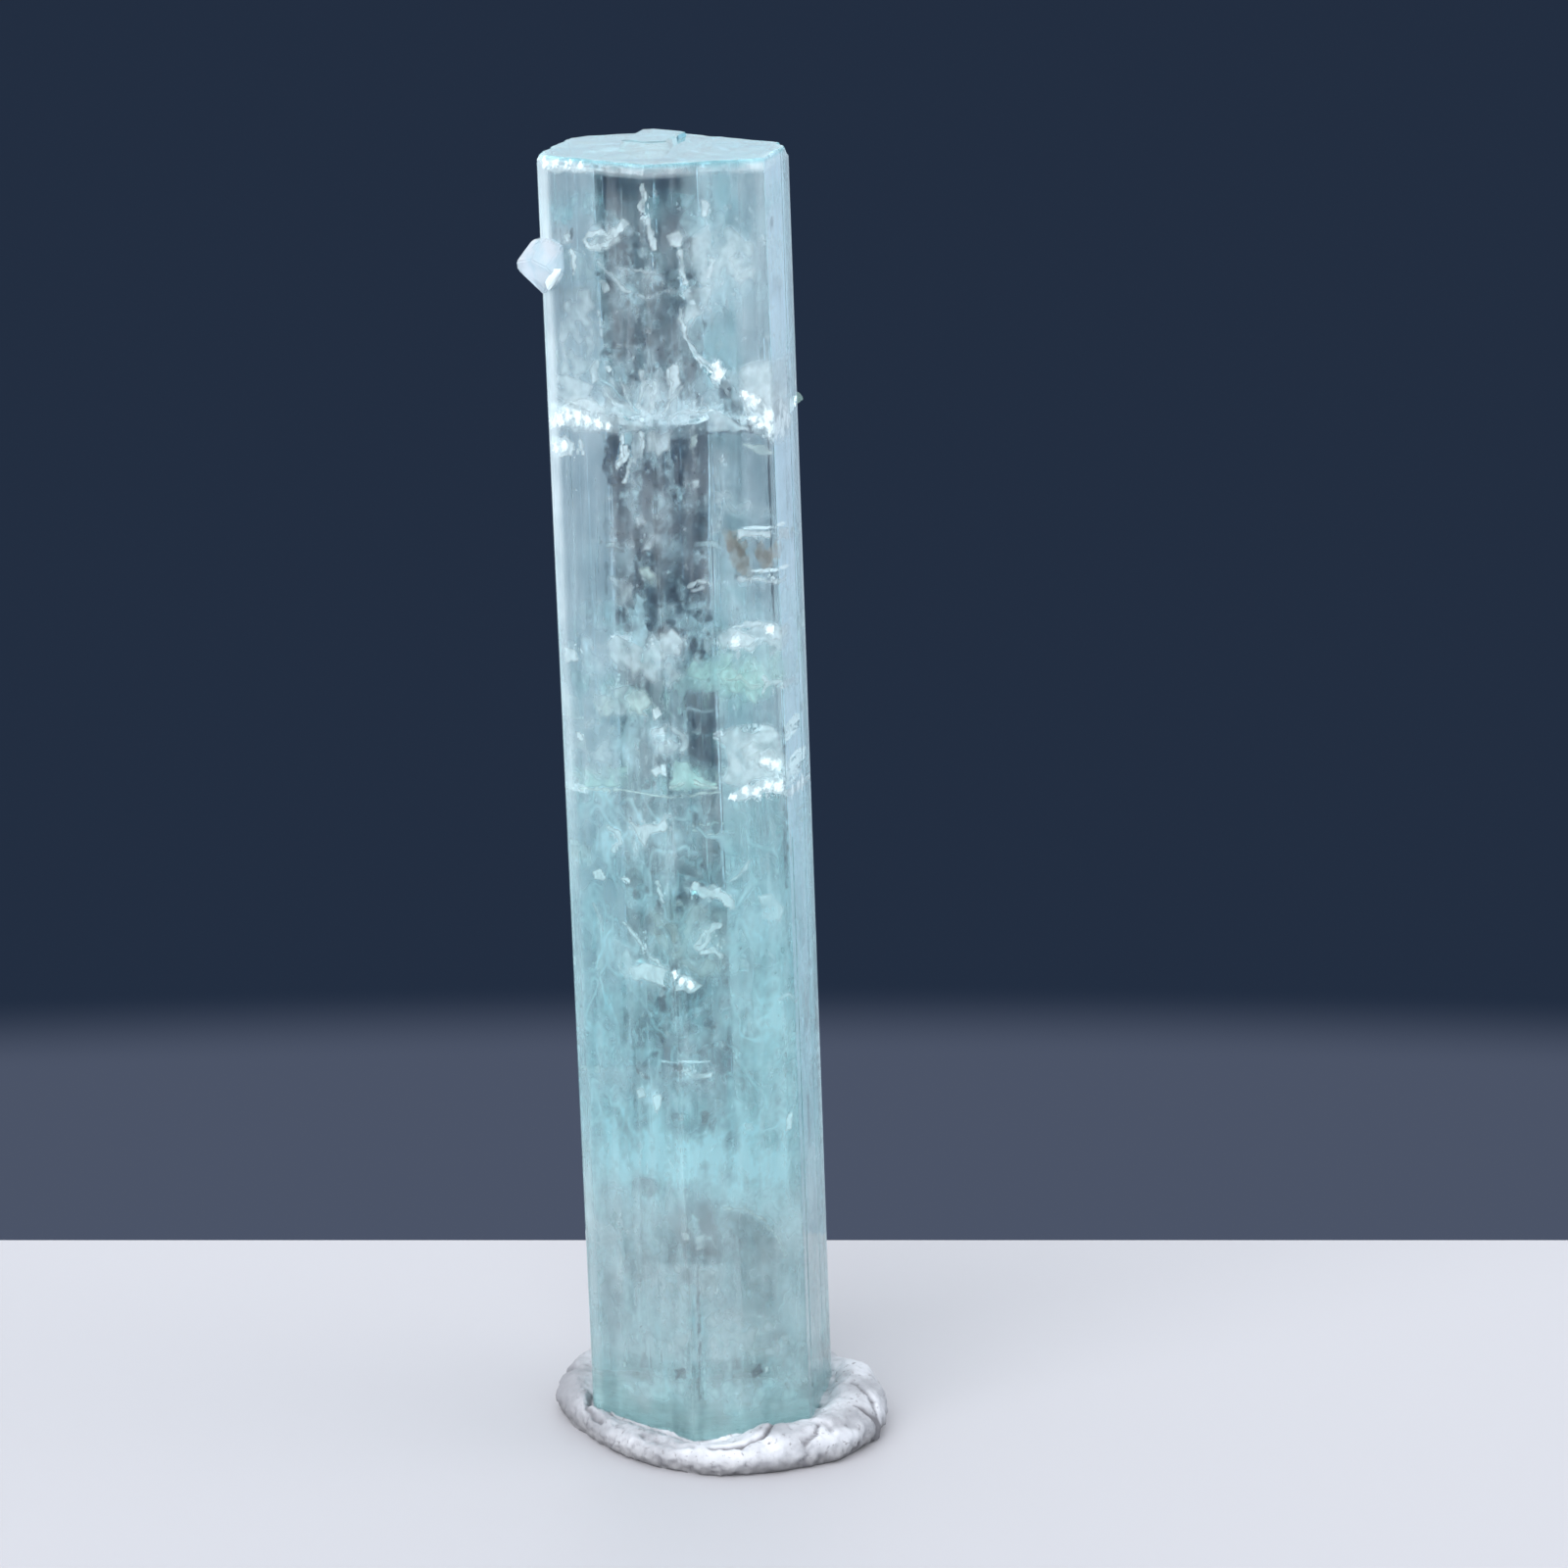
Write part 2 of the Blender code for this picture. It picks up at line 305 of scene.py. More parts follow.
# %% Two soft boxes under the roof
SOFT_BOXES = (  # where each hangs (east, north, up), the cosine of its reach, its strength
    (-0.35, -0.75, 0.56, 0.84, 5.0),
    (0.70, -0.10, 0.70, 0.93, 2.6),
)
SOFT_BOX_BLUR = 0.05
SOFT_BOX_BLUE = 1.02
for east, north, up, edge, strength in SOFT_BOXES:
    hung = Vector((east, north, up)).normalized()
    towards = node(sky, "ShaderNodeVectorMath", {"operation": "DOT_PRODUCT"}, _0=looking, _1=hung)
    lit = eased(sky, towards.outputs["Value"], edge, edge + SOFT_BOX_BLUR)
    glow = blend(sky, lit, glow, (strength, strength, strength * SOFT_BOX_BLUE))
light = node(sky, "ShaderNodeBackground", Color=glow)
sky.links.new(light.outputs[0], node(sky, "ShaderNodeOutputWorld").inputs["Surface"])
print("soft boxes:", len(SOFT_BOXES))

# %% [markdown]
# ## Floor
#
# The crystal stands on a plain pale slab that ends a little way behind it. Where it ends matters:
# through the foot of the crystal one sees the bright slab, and above that the dark card.

# %% Make the slab
SLAB_BACK = 0.026
SLAB_HALF_WIDTH = 0.065
SLAB_FRONT = -0.090
SLAB_THICKNESS = 0.03
SLAB_BEVEL = 0.0006
SLAB_COLOUR = (0.40, 0.40, 0.425)


def make_slab():
    bm = bmesh.new()
    bmesh.ops.create_cube(bm, size=1.0)
    for vert in bm.verts:
        vert.co.x *= 2 * SLAB_HALF_WIDTH
        vert.co.y = SLAB_BACK if vert.co.y > 0 else SLAB_FRONT
        vert.co.z = 0.0 if vert.co.z > 0 else -SLAB_THICKNESS
    bmesh.ops.bevel(bm, geom=bm.edges[:], offset=SLAB_BEVEL, segments=3, affect="EDGES")
    mesh = bpy.data.meshes.new("slab")
    bm.to_mesh(mesh)
    bm.free()
    slab = bpy.data.objects.new("slab", mesh)
    scene.collection.objects.link(slab)
    return slab


slab = make_slab()
slab_finish, tree, shader = finish("pale_slab")
shader.inputs["Base Color"].default_value = (*SLAB_COLOUR, 1.0)
shader.inputs["Roughness"].default_value = 0.55
slab.data.materials.append(slab_finish)
slab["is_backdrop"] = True
print("slab reaches", SLAB_BACK / MM, "mm behind the crystal")

# %% [markdown]
# ## The prism's section
#
# Beryl grows as a six-sided prism. Its faces turn by exactly 60 degrees, but each lies at its own
# distance from the axis, because each grew at its own speed. So the section is drawn from six
# distances, not from a regular hexagon. These are the CAD's own numbers, repeated here.

# %% Section of the prism
LENGTH = 60.85 * MM
FOOT_HEIGHT = 1.1 * MM
FIRST_FACE_AZIMUTH, FACE_TURN = 18.0, 60.0
FACE_DISTANCES = [d * MM for d in (5.67, 5.48, 4.61, 5.91, 5.43, 5.22)]
EDGE_FLATS = [w * MM for w in (0.20, 0.80, 0.30, 0.40, 1.00, 0.12)]  # between a face and the next
SPREAD = 0.008  # how much wider the section is at the upper end


def direction(azimuth):
    """The level unit vector at an azimuth in degrees, turning from the front towards +X."""
    turn = math.radians(azimuth)
    return Vector((math.sin(turn), -math.cos(turn)))


def face_azimuth(face):
    return FIRST_FACE_AZIMUTH + FACE_TURN * face


def corner(distances, face):
    """Where a face's line meets the next face's, seen from above."""
    first, second = direction(face_azimuth(face)), direction(face_azimuth(face + 1))
    h1, h2 = distances[face % 6], distances[(face + 1) % 6]
    cross = first.x * second.y - first.y * second.x
    return Vector((h1 * second.y - h2 * first.y, h2 * first.x - h1 * second.x)) / cross


print("corners in mm:", [tuple(round(v / MM, 2) for v in corner(FACE_DISTANCES, f)) for f in range(6)])

# %% [markdown]
# ## The lean
#
# The broken foot isn't quite square to the prism, so the crystal leans a little to the left and to
# the back. Every point of the section is carried up along that leaning axis.

# %% Lean and height
LEAN_LEFT, LEAN_BACK = math.radians(2.07), math.radians(2.6)
END_LEAN_LEFT = math.radians(1.0)


def leaning(left, back):
    return Vector((-math.tan(left), math.tan(back), 1.0)).normalized()


AXIS = leaning(LEAN_LEFT, LEAN_BACK)
END_NORMAL = leaning(END_LEAN_LEFT, LEAN_BACK)


def on_prism(place, height, normal=AXIS):
    """A point of the section, carried along the axis to the plane at this height."""
    place = Vector((place[0], place[1], 0.0))
    travel = (height * normal.dot(AXIS) - normal.dot(place)) / normal.dot(AXIS)
    return place + AXIS * travel + Vector((0.0, 0.0, FOOT_HEIGHT))


print("the end's middle in mm:", tuple(round(v / MM, 2) for v in on_prism((0, 0), LENGTH)))

# %% [markdown]
# ## Growth lines
#
# A beryl's side faces aren't flat mirrors. Growth leaves fine steps that run along the prism, up to
# a hundredth of a millimetre high, and some broader strips. They could be a bump map, but real steps
# also bend what is seen through the face, so they go into the mesh: each face is cut into narrow
# columns, and each column stands out by its own small amount that drifts along the height.

# %% Columns of growth lines
LINE_RELIEF = 0.010 * MM
LINE_WIDTHS = (0.012, 0.055)  # shares of a face's width
LAST_LINE, CLEAR_EDGE = 0.94, 0.985  # shares beyond which no column starts, and none ends
FINE_LINES, BROAD_LINES = 0.7, 0.9  # shares of the relief
EDGE_CALM = 14.0  # the lines fade out over 1/14 of the width at a face's edges
STRIP_SIDE, STRIP_END = 0.012, 1.6  # how soon a strip rises: a share of the width, and mm of height
STRIPS = (  # face, from and to as shares of its width, from and to height in mm, relief
    (0, 0.30, 0.46, 3.0, 44.0, 0.012 * MM),
    (0, 0.72, 0.80, 22.0, 62.0, -0.012 * MM),
    (1, 0.12, 0.17, -5.0, 30.0, 0.030 * MM),
    (1, 0.60, 0.70, -5.0, 70.0, -0.014 * MM),
    (2, 0.15, 0.40, 20.0, 52.0, 0.040 * MM),
    (3, 0.30, 0.62, 26.0, 70.0, 0.012 * MM),
    (4, 0.20, 0.34, -5.0, 36.0, -0.030 * MM),
    (4, 0.55, 0.80, 18.0, 70.0, 0.040 * MM),
    (5, 0.14, 0.24, 40.0, 70.0, 0.010 * MM),
    (5, 0.56, 0.70, -5.0, 24.0, 0.014 * MM),
)


def column_shares(face):
    """Where the columns meet, as shares of a face's width. A strip's sides get two lines each."""
    draw = random.Random(40 + face)
    shares = [0.0]
    while shares[-1] < LAST_LINE:
        shares.append(shares[-1] + draw.uniform(*LINE_WIDTHS))
    for _, low, high, *_ in (s for s in STRIPS if s[0] == face):
        shares += [low, low + STRIP_SIDE, high - STRIP_SIDE, high]
    return sorted(s for s in shares if s < CLEAR_EDGE) + [1.0]


SHARES = [column_shares(face) for face in range(6)]


def step_up(value, start, end):
    """0 before start and 1 after end, with a soft step between."""
    share = min(max((value - start) / (end - start), 0.0), 1.0)
    return share * share * (3 - 2 * share)


def stands_out(face, share, height):
    """How far the surface stands out of the flat face at this place."""
    up = height / MM
    fine = noise.noise(Vector((face * 9.1 + share * 31.0, up / 9.0, 4.0)))
    broad = noise.noise(Vector((face * 5.3 + share * 6.0, up / 14.0, 9.0)))
    edge = min(share, 1.0 - share) * EDGE_CALM
    out = LINE_RELIEF * (FINE_LINES * fine + BROAD_LINES * broad) * min(edge, 1.0)
    for strip, low, high, start, end, relief in STRIPS:
        if strip == face:
            across = step_up(share, low, low + STRIP_SIDE) - step_up(share, high - STRIP_SIDE, high)
            along = step_up(up, start, start + STRIP_END) - step_up(up, end - STRIP_END, end)
            out += relief * across * along
    return out


print("columns per face:", [len(s) for s in SHARES])

# %% Outline of the section at a height
EDGE_BULGE = 0.16  # how round the flats between the faces are, as a share of their width


def outline(height, distances=FACE_DISTANCES, relief=1.0):
    """The section's points in order, face by face, with the narrow flats between the faces."""
    distances = [d * (1 + SPREAD * height / LENGTH) for d in distances]
    points = []
    for face in range(6):
        outward = direction(face_azimuth(face))
        start, end = corner(distances, face - 1), corner(distances, face)
        along = (end - start).normalized()
        start += along * (EDGE_FLATS[face - 1] / math.sqrt(3))
        end -= along * (EDGE_FLATS[face] / math.sqrt(3))
        for share in SHARES[face]:
            points.append(start.lerp(end, share) + outward * stands_out(face, share, height) * relief)
        beyond = corner(distances, face)
        following = direction(face_azimuth(face + 1))
        next_start = beyond + Vector((-following.y, following.x)) * (EDGE_FLATS[face] / math.sqrt(3))
        bulge = (outward + following).normalized() * (EDGE_FLATS[face] * EDGE_BULGE)
        points += [end.lerp(next_start, s) + bulge * 4 * s * (1 - s) for s in (0.25, 0.5, 0.75)]
    return points


print("points around the section:", len(outline(0.0)))

# %% [markdown]
# ## The prism's body
#
# The body is a loft: the same outline again and again, ring over ring, joined by strips of faces.
# It ends in a narrow rounded rim, worn and chipped, so the rim's setback wanders from place to place.

# %% Rings of the body
RING_STEP = 1.1 * MM
RIM_HEIGHT = 0.45 * MM
RIM_CLEARANCE, NECK = 1.4 * MM, 0.25 * MM  # below the rim: the last plain ring and the last full one
RIM_WANDER, RIM_LEAST = 0.9, 0.35  # how unevenly the rim is worn, as shares of its setback
END_RELIEF = 0.4  # how much of the growth lines is left at the rim
END_UNEVENNESS = 0.03 * MM
RIM_SETBACKS = [s * MM for s in (0.16, 0.12, 0.14, 0.12, 0.18, 0.24)]
RIM_PROFILE = ((0.0, 1.0), (0.12, 0.55), (0.36, 0.22), (0.68, 0.06), (1.0, 0.0))  # share in, share down
END_INSETS = (0.35, 0.8, 1.3, 1.9)  # rings on the flat end in mm from the rim, each a little uneven


def prism_rings():
    rings = [[Vector((p.x, p.y, FOOT_HEIGHT)) for p in outline(0.0)]]
    count = round((LENGTH - RIM_HEIGHT - RIM_CLEARANCE) / RING_STEP)
    for i in range(1, count + 1):
        height = i * RING_STEP
        rings.append([on_prism(p, height) for p in outline(height)])
    full = outline(LENGTH)
    rings.append([on_prism(p, LENGTH - RIM_HEIGHT - NECK, END_NORMAL) for p in full])
    inner = outline(LENGTH, [d - s for d, s in zip(FACE_DISTANCES, RIM_SETBACKS)], END_RELIEF)
    for share_in, share_down in RIM_PROFILE:
        ring = []
        for outside, inside in zip(full, inner):
            worn = 1.0 + RIM_WANDER * noise.noise(Vector((outside.x, outside.y, 0.0)) / (0.9 * MM))
            worn = max(worn, RIM_LEAST)
            place = outside.lerp(inside, share_in * worn)
            drop = RIM_HEIGHT * share_down * (1.0 if share_in == 0 else worn)
            ring.append(on_prism(place, LENGTH - drop, END_NORMAL))
        rings.append(ring)
    for inset in END_INSETS:
        lane = outline(LENGTH, [d - s - inset * MM for d, s in zip(FACE_DISTANCES, RIM_SETBACKS)], 0.0)
        uneven = END_UNEVENNESS if inset < END_INSETS[-1] else 0.0
        rings.append([
            on_prism(p, LENGTH + uneven * noise.noise(Vector((p.x, p.y, 0.0)) / (1.1 * MM)), END_NORMAL)
            for p in lane
        ])
    return rings


body_rings = prism_rings()
print("rings:", len(body_rings), "of", len(body_rings[0]), "points")

# %% Loft the body
def add_object(bm, name):
    mesh = bpy.data.meshes.new(name)
    bm.to_mesh(mesh)
    bm.free()
    made = bpy.data.objects.new(name, mesh)
    scene.collection.objects.link(made)
    return made


def skin(bm, grid):
    """Quads between rings of points that stand over each other, and a face to shut each end."""
    for lower, upper in zip(grid, grid[1:]):
        for i in range(len(lower)):
            j = (i + 1) % len(lower)
            bm.faces.new((lower[i], lower[j], upper[j], upper[i]))
    bm.faces.new(reversed(grid[0]))
    bm.faces.new(grid[-1])


def loft(rings, name):
    """A closed body through rings that have the same number of points."""
    bm = bmesh.new()
    skin(bm, [[bm.verts.new(p) for p in ring] for ring in rings])
    bmesh.ops.recalc_face_normals(bm, faces=bm.faces)
    return add_object(bm, name)


prism = loft(body_rings, "beryl_prism")
print("body:", len(prism.data.polygons), "faces")

# %% [markdown]
# ## The low plate and the chips
#
# The flat end carries one more layer that stopped growing halfway, a low plate in line with the
# faces. Knocks have left small shelly chips on the rim and the foot. Both are made as helper solids:
# the plate is joined on with a Boolean, and rough balls are cut away.

# %% Low plate
PLATE_HEIGHT = 0.25 * MM
PLATE_MIDDLE = Vector((-0.60, 2.75)) * MM
PLATE_REACHES = [r * MM for r in (2.5, 1.25, 2.2, 2.75, 1.1, 2.2)]
PLATE_RAMP = 5.0 * MM  # how far its front fades out towards the viewer
PLATE_LEVELS = ((1.0, -0.2, 1), (0.95, 0.8, 0), (0.86, 1.0, 0))  # shares of its reach, height and ramp
PLATE_ROOT = 0.3 * MM  # how deep it is sunk into the end, for a clean Boolean
SIDE_POINTS = 6


def growth_plate():
    """Steep at the back and the sides, and faded out in a long ramp at the front."""
    corners = [PLATE_MIDDLE + corner(PLATE_REACHES, face) for face in range(6)]
    ring = []
    for start, end in zip(corners, corners[1:] + corners[:1]):
        ring += [start.lerp(end, s / SIDE_POINTS) for s in range(SIDE_POINTS)]
    front = min(p.y for p in ring)
    levels = [[] for _ in PLATE_LEVELS]
    for place in ring:
        wander = 1 + 0.05 * noise.noise(Vector((place.x, place.y, 1.0)) / (0.7 * MM))
        ahead = max(PLATE_MIDDLE.y - place.y, 0.0) / (PLATE_MIDDLE.y - front)
        forward = Vector((0.0, -PLATE_RAMP * ahead))
        for level, (reach, rise, ramp_share) in zip(levels, PLATE_LEVELS):
            flat = PLATE_MIDDLE.lerp(place, reach * wander) + forward * ramp_share
            level.append(on_prism(flat, LENGTH + rise * PLATE_HEIGHT, END_NORMAL))
    sunk = [p - END_NORMAL * PLATE_ROOT for p in levels[0]]
    return loft([sunk, *levels], "plate_former")


plate = growth_plate()
print("plate:", len(plate.data.polygons), "faces")

# %% Chips, and all Booleans
CHIPS = (  # azimuth, height from the foot, how far in the ball reaches, its radius, all in mm
    (284.0, 61.0, 0.26, 1.5),
    (98.0, 60.6, 0.34, 1.3),
    (330.0, 61.0, 0.12, 0.8),
    (20.0, 61.0, 0.10, 1.1),
    (150.0, 60.9, 0.22, 1.2),
    (222.0, 60.9, 0.30, 1.4),
    (228.0, 0.0, 0.45, 1.3),
)
CHIP_SLANT = 0.7  # the balls come from 45 degrees above or below


def chip_ball(number, azimuth, height, reach, radius):
    """A rough ball whose edge bites into the crystal's rim or foot."""
    draw = random.Random(number)
    way = direction(azimuth)
    edge = way * min(
        d / max(way.dot(direction(face_azimuth(f))), 0.2) for f, d in enumerate(FACE_DISTANCES)
    )
    middle = edge + way * (radius - reach) * MM * CHIP_SLANT
    lift = (radius - reach) * CHIP_SLANT * (1 if height > 0 else -1)
    centre = on_prism(middle, (height + lift) * MM)
    bm = bmesh.new()
    bmesh.ops.create_icosphere(bm, subdivisions=3, radius=radius * MM)
    for vert in bm.verts:
        ripple = noise.noise(vert.co / (0.5 * MM) + Vector((number, 0, 0)))
        vert.co = centre + vert.co * (1.0 + 0.05 * ripple + draw.uniform(-0.004, 0.004))
    return add_object(bm, f"chip_former_{number}")


def carve(body, formers):
    """Joins the first former to the body and cuts the others away, for good."""
    for number, former in enumerate(formers):
        modifier = body.modifiers.new(former.name, "BOOLEAN")
        modifier.operation = "UNION" if number == 0 else "DIFFERENCE"
        modifier.solver = "EXACT"
        modifier.object = former
    depsgraph = bpy.context.evaluated_depsgraph_get()
    carved = bpy.data.meshes.new_from_object(body.evaluated_get(depsgraph))
    body.modifiers.clear()
    body.data = carved
    for former in formers:
        bpy.data.objects.remove(former)


carve(prism, [plate] + [chip_ball(i, *chip) for i, chip in enumerate(CHIPS)])
print("after the Booleans:", len(prism.data.polygons), "faces")

# %% [markdown]
# ## Where a flaw seems to be
#
# A face bends the line of sight, so a flaw inside isn't straight behind the spot where one sees it.
# Seen from the front, three faces show. This helper starts at the spot on the face, given by how far
# right it is and how high, and follows the bent line inwards by a depth.

# %% Go in behind a front face
FRONT_FACES = (5, 0, 1)
SIGHT_SLOPES = {5: 0.292, 0: -0.134, 1: -0.84}  # how the bent line drifts sideways per mm of depth
SIGHT_DROP = 0.15


def front_face(x):
    """Which of the three front faces is met at this sideways place, and how far forward it lies."""
    best = None
    for face in FRONT_FACES:
        normal = direction(face_azimuth(face))
        y = (FACE_DISTANCES[face] / MM - normal.x * x) / normal.y
        if best is None or y > best[1]:
            best = (face, y)
    return best


def section_place(x, depth):
    """Section coordinates in mm of the place that is seen at x, this deep behind the face."""
    face, y = front_face(x)
    return Vector((x + SIGHT_SLOPES[face] * depth, y + depth))


def inside(x, height, depth):
    """The point behind the front faces, from millimetres to the frame's metres."""
    place = section_place(x, depth)
    return on_prism(place * MM, (height - SIGHT_DROP * depth) * MM)


def room(place):
    """How far a section place in mm is from the nearest face."""
    return min(
        d / MM - direction(face_azimuth(f)).dot(place) for f, d in enumerate(FACE_DISTANCES)
    )


print("front edge at x =", round(corner(FACE_DISTANCES, 5).x / MM, 2), "mm")

# %% [markdown]
# ## Cracks
#
# The white bands and feathers are cracks: thin gaps of air that mirror the bright tent like foil. The
# honest way to model one is a hollow in the glass, so each is a closed flat bubble of two crinkled
# skins that meet along a ragged rim. Its faces are turned round to look into the gap, because there
# the glass ends.

# %% A flat crack
COARSE_WAVES, FINE_WAVES, FINE_CRINKLE = 0.8, 2.6, 0.38  # waves to a mm, and how high the fine ones are
RAGGED_RIM = 0.16  # how far the rim wanders, as a share of its distance


def crack(centre, across, along, reaches, crinkle, seed, gap=0.018, rings=7, spokes=44):
    """Skins of a crack as (points, faces). reaches are the rim's distances in mm, evenly round."""
    across, along = across.normalized(), along.normalized()
    lift = across.cross(along).normalized()
    points, faces = [], []

    def wave(flat):
        shift = Vector((seed * 7.3, seed * 3.1, 0.0))
        coarse = noise.noise(Vector((flat.x, flat.y, 0.0)) * COARSE_WAVES + shift)
        fine = noise.noise(Vector((flat.x, flat.y, 5.0)) * FINE_WAVES + shift)
        return crinkle * (coarse + FINE_CRINKLE * fine)

    def reach(turn):
        place = turn / (2 * math.pi) * len(reaches)
        low = int(place) % len(reaches)
        share = place - int(place)
        plain = reaches[low] * (1 - share) + reaches[(low + 1) % len(reaches)] * share
        ragged = noise.noise(Vector((math.cos(turn) * 3.0, math.sin(turn) * 3.0, seed * 1.7)))
        ragged += 0.5 * noise.noise(Vector((math.cos(turn) * 9.0, math.sin(turn) * 9.0, seed)))
        return plain * (1 + RAGGED_RIM * ragged)

    def place(ring, spoke, side):
        turn = 2 * math.pi * spoke / spokes
        share = ring / rings
        flat = Vector((math.cos(turn), math.sin(turn))) * reach(turn) * share
        up = wave(flat) + side * gap * math.sqrt(max(1 - share ** 2, 0.0))
        return centre + (across * flat.x + along * flat.y + lift * up) * MM

    for side in (1, -1):
        points.append(place(0, 0, side))
        for ring in range(1, rings):
            points += [place(ring, spoke, side) for spoke in range(spokes)]
    rim = len(points)
    points += [place(rings, spoke, 0) for spoke in range(spokes)]
    skin_points = 1 + (rings - 1) * spokes
    for number, side in enumerate((1, -1)):
        first = number * skin_points

        def at(ring, spoke):
            return rim + spoke if ring == rings else first + 1 + (ring - 1) * spokes + spoke

        for spoke in range(spokes):
            following = (spoke + 1) % spokes
            quads = [(first, at(1, spoke), at(1, following))]
            for ring in range(1, rings):
                quads.append((at(ring, spoke), at(ring + 1, spoke),
                              at(ring + 1, following), at(ring, following)))
            faces += [q if side < 0 else q[::-1] for q in quads]
    return points, faces


sample = crack(Vector(), Vector((1, 0, 0)), Vector((0, 1, 0)), (1.0, 1.5), 0.1, 0)
print("points and faces of a crack:", [len(part) for part in sample])

# %% [markdown]
# The two skins are wound so that their normals look into the gap. Turning them the other way would
# make a lens of denser glass inside the glass, which hardly shows.

# %% A crack that follows a line
def sleeve_faces(rows, sides):
    """Faces of a sleeve of rows of points, numbered row by row, with both ends shut."""
    faces = []
    for i in range(rows - 1):
        for k in range(sides):
            j = (k + 1) % sides
            faces.append((i * sides + k, i * sides + j, (i + 1) * sides + j, (i + 1) * sides + k))
    faces.append(tuple(range(sides))[::-1])
    faces.append(tuple((rows - 1) * sides + k for k in range(sides)))
    return faces


RIBBON_ENDS = (0.03, 0.97)  # beyond these shares of its length it narrows no further
RIBBON_RAGGED = (0.75, 1.2)  # how unevenly wide it is


def ribbon(path, widths, sideways, crinkle, seed, gap=0.016, steps=26, lanes=5):
    """A long narrow crack along a path of points in mm (x, height, depth), as (points, faces)."""
    draw = random.Random(seed)
    nodes = [inside(*p) for p in path]
    sides, points = 2 * lanes, []

    def on_path(share):
        place = min(share * (len(nodes) - 1), len(nodes) - 1.001)
        low = int(place)
        part = place - low
        width = widths[low] * (1 - part) + widths[low + 1] * part
        return nodes[low].lerp(nodes[low + 1], part), width, (nodes[low + 1] - nodes[low]).normalized()

    for i in range(steps + 1):
        middle, width, forward = on_path(i / steps)
        tip, other_tip = RIBBON_ENDS
        taper = math.sin(math.pi * min(max(i / steps, tip), other_tip)) ** 0.4
        width *= taper * draw.uniform(*RIBBON_RAGGED)
        side = (sideways - forward * sideways.dot(forward)).normalized()
        up = forward.cross(side).normalized()
        wobble = crinkle * noise.noise(Vector((i * 0.6, seed * 3.3, 0.0)))
        for k in range(sides):
            turn = 2 * math.pi * k / sides
            flat = math.cos(turn) * width / 2
            wave = wobble + crinkle * noise.noise(Vector((flat * 2.5, i * 0.35, seed * 5.1)))
            thick = math.sin(turn) * gap * taper
            points.append(middle + (side * flat + up * (wave + thick)) * MM)
    return points, sleeve_faces(steps + 1, sides)


sample = ribbon(((0.0, 10.0, 1.0), (0.0, 12.0, 1.0)), (0.5, 0.5), Vector((1, 0, 0)), 0.1, 0)
print("points and faces of a ribbon:", [len(part) for part in sample])

# %% [markdown]
# Beryl also traps long thin tubes of fluid along its axis while it grows. They are what makes the
# heart of the crystal look streaked, and each one is a closed needle-shaped hollow.

# %% A growth tube
TUBE_PROFILE = ((0.0, 0.25), (0.04, 0.8), (0.3, 1.0), (0.62, 0.85), (0.9, 0.7), (1.0, 0.15))
TUBE_WANDER = 0.02


def tube(foot, length, radius, seed, sides=6):
    """A needle-shaped hollow along the axis, as (points, faces). foot is (x, y, height) in mm."""
    draw = random.Random(seed)
    x, y, height = foot
    points = []
    for share, swell in TUBE_PROFILE:
        wander = Vector((draw.uniform(-1, 1), draw.uniform(-1, 1))) * TUBE_WANDER
        for k in range(sides):
            turn = 360.0 * k / sides
            place = Vector((x, y)) + wander + direction(turn) * radius * swell
            points.append(on_prism(place * MM, (height + share * length) * MM))
    return points, sleeve_faces(len(TUBE_PROFILE), sides)


print("points and faces of a tube:", [len(part) for part in tube((0.0, 0.0, 10.0), 1.0, 0.02, 0)])

# %% [markdown]
# ## Placing the cracks
#
# Beryl splits most easily straight across the prism. Two such basal cracks cross this crystal, one a
# fifth of the way down and one at half height. Smaller, curved and feathered ones run around them.

# %% Basal cracks
RIGHT, BACK, UP = Vector((1, 0, 0)), Vector((0, 1, 0)), AXIS


def basal(x, y, height, reaches, crinkle, seed, tilt_back=0.0, tilt_right=0.0, **more):
    """A crack across the prism. x and y are section places in mm, the tilts are slopes."""
    across = RIGHT + UP * tilt_right
    along = BACK + UP * tilt_back
    centre = on_prism(Vector((x, y)) * MM, height * MM)
    return crack(centre, across, along, reaches, crinkle, seed, **more)


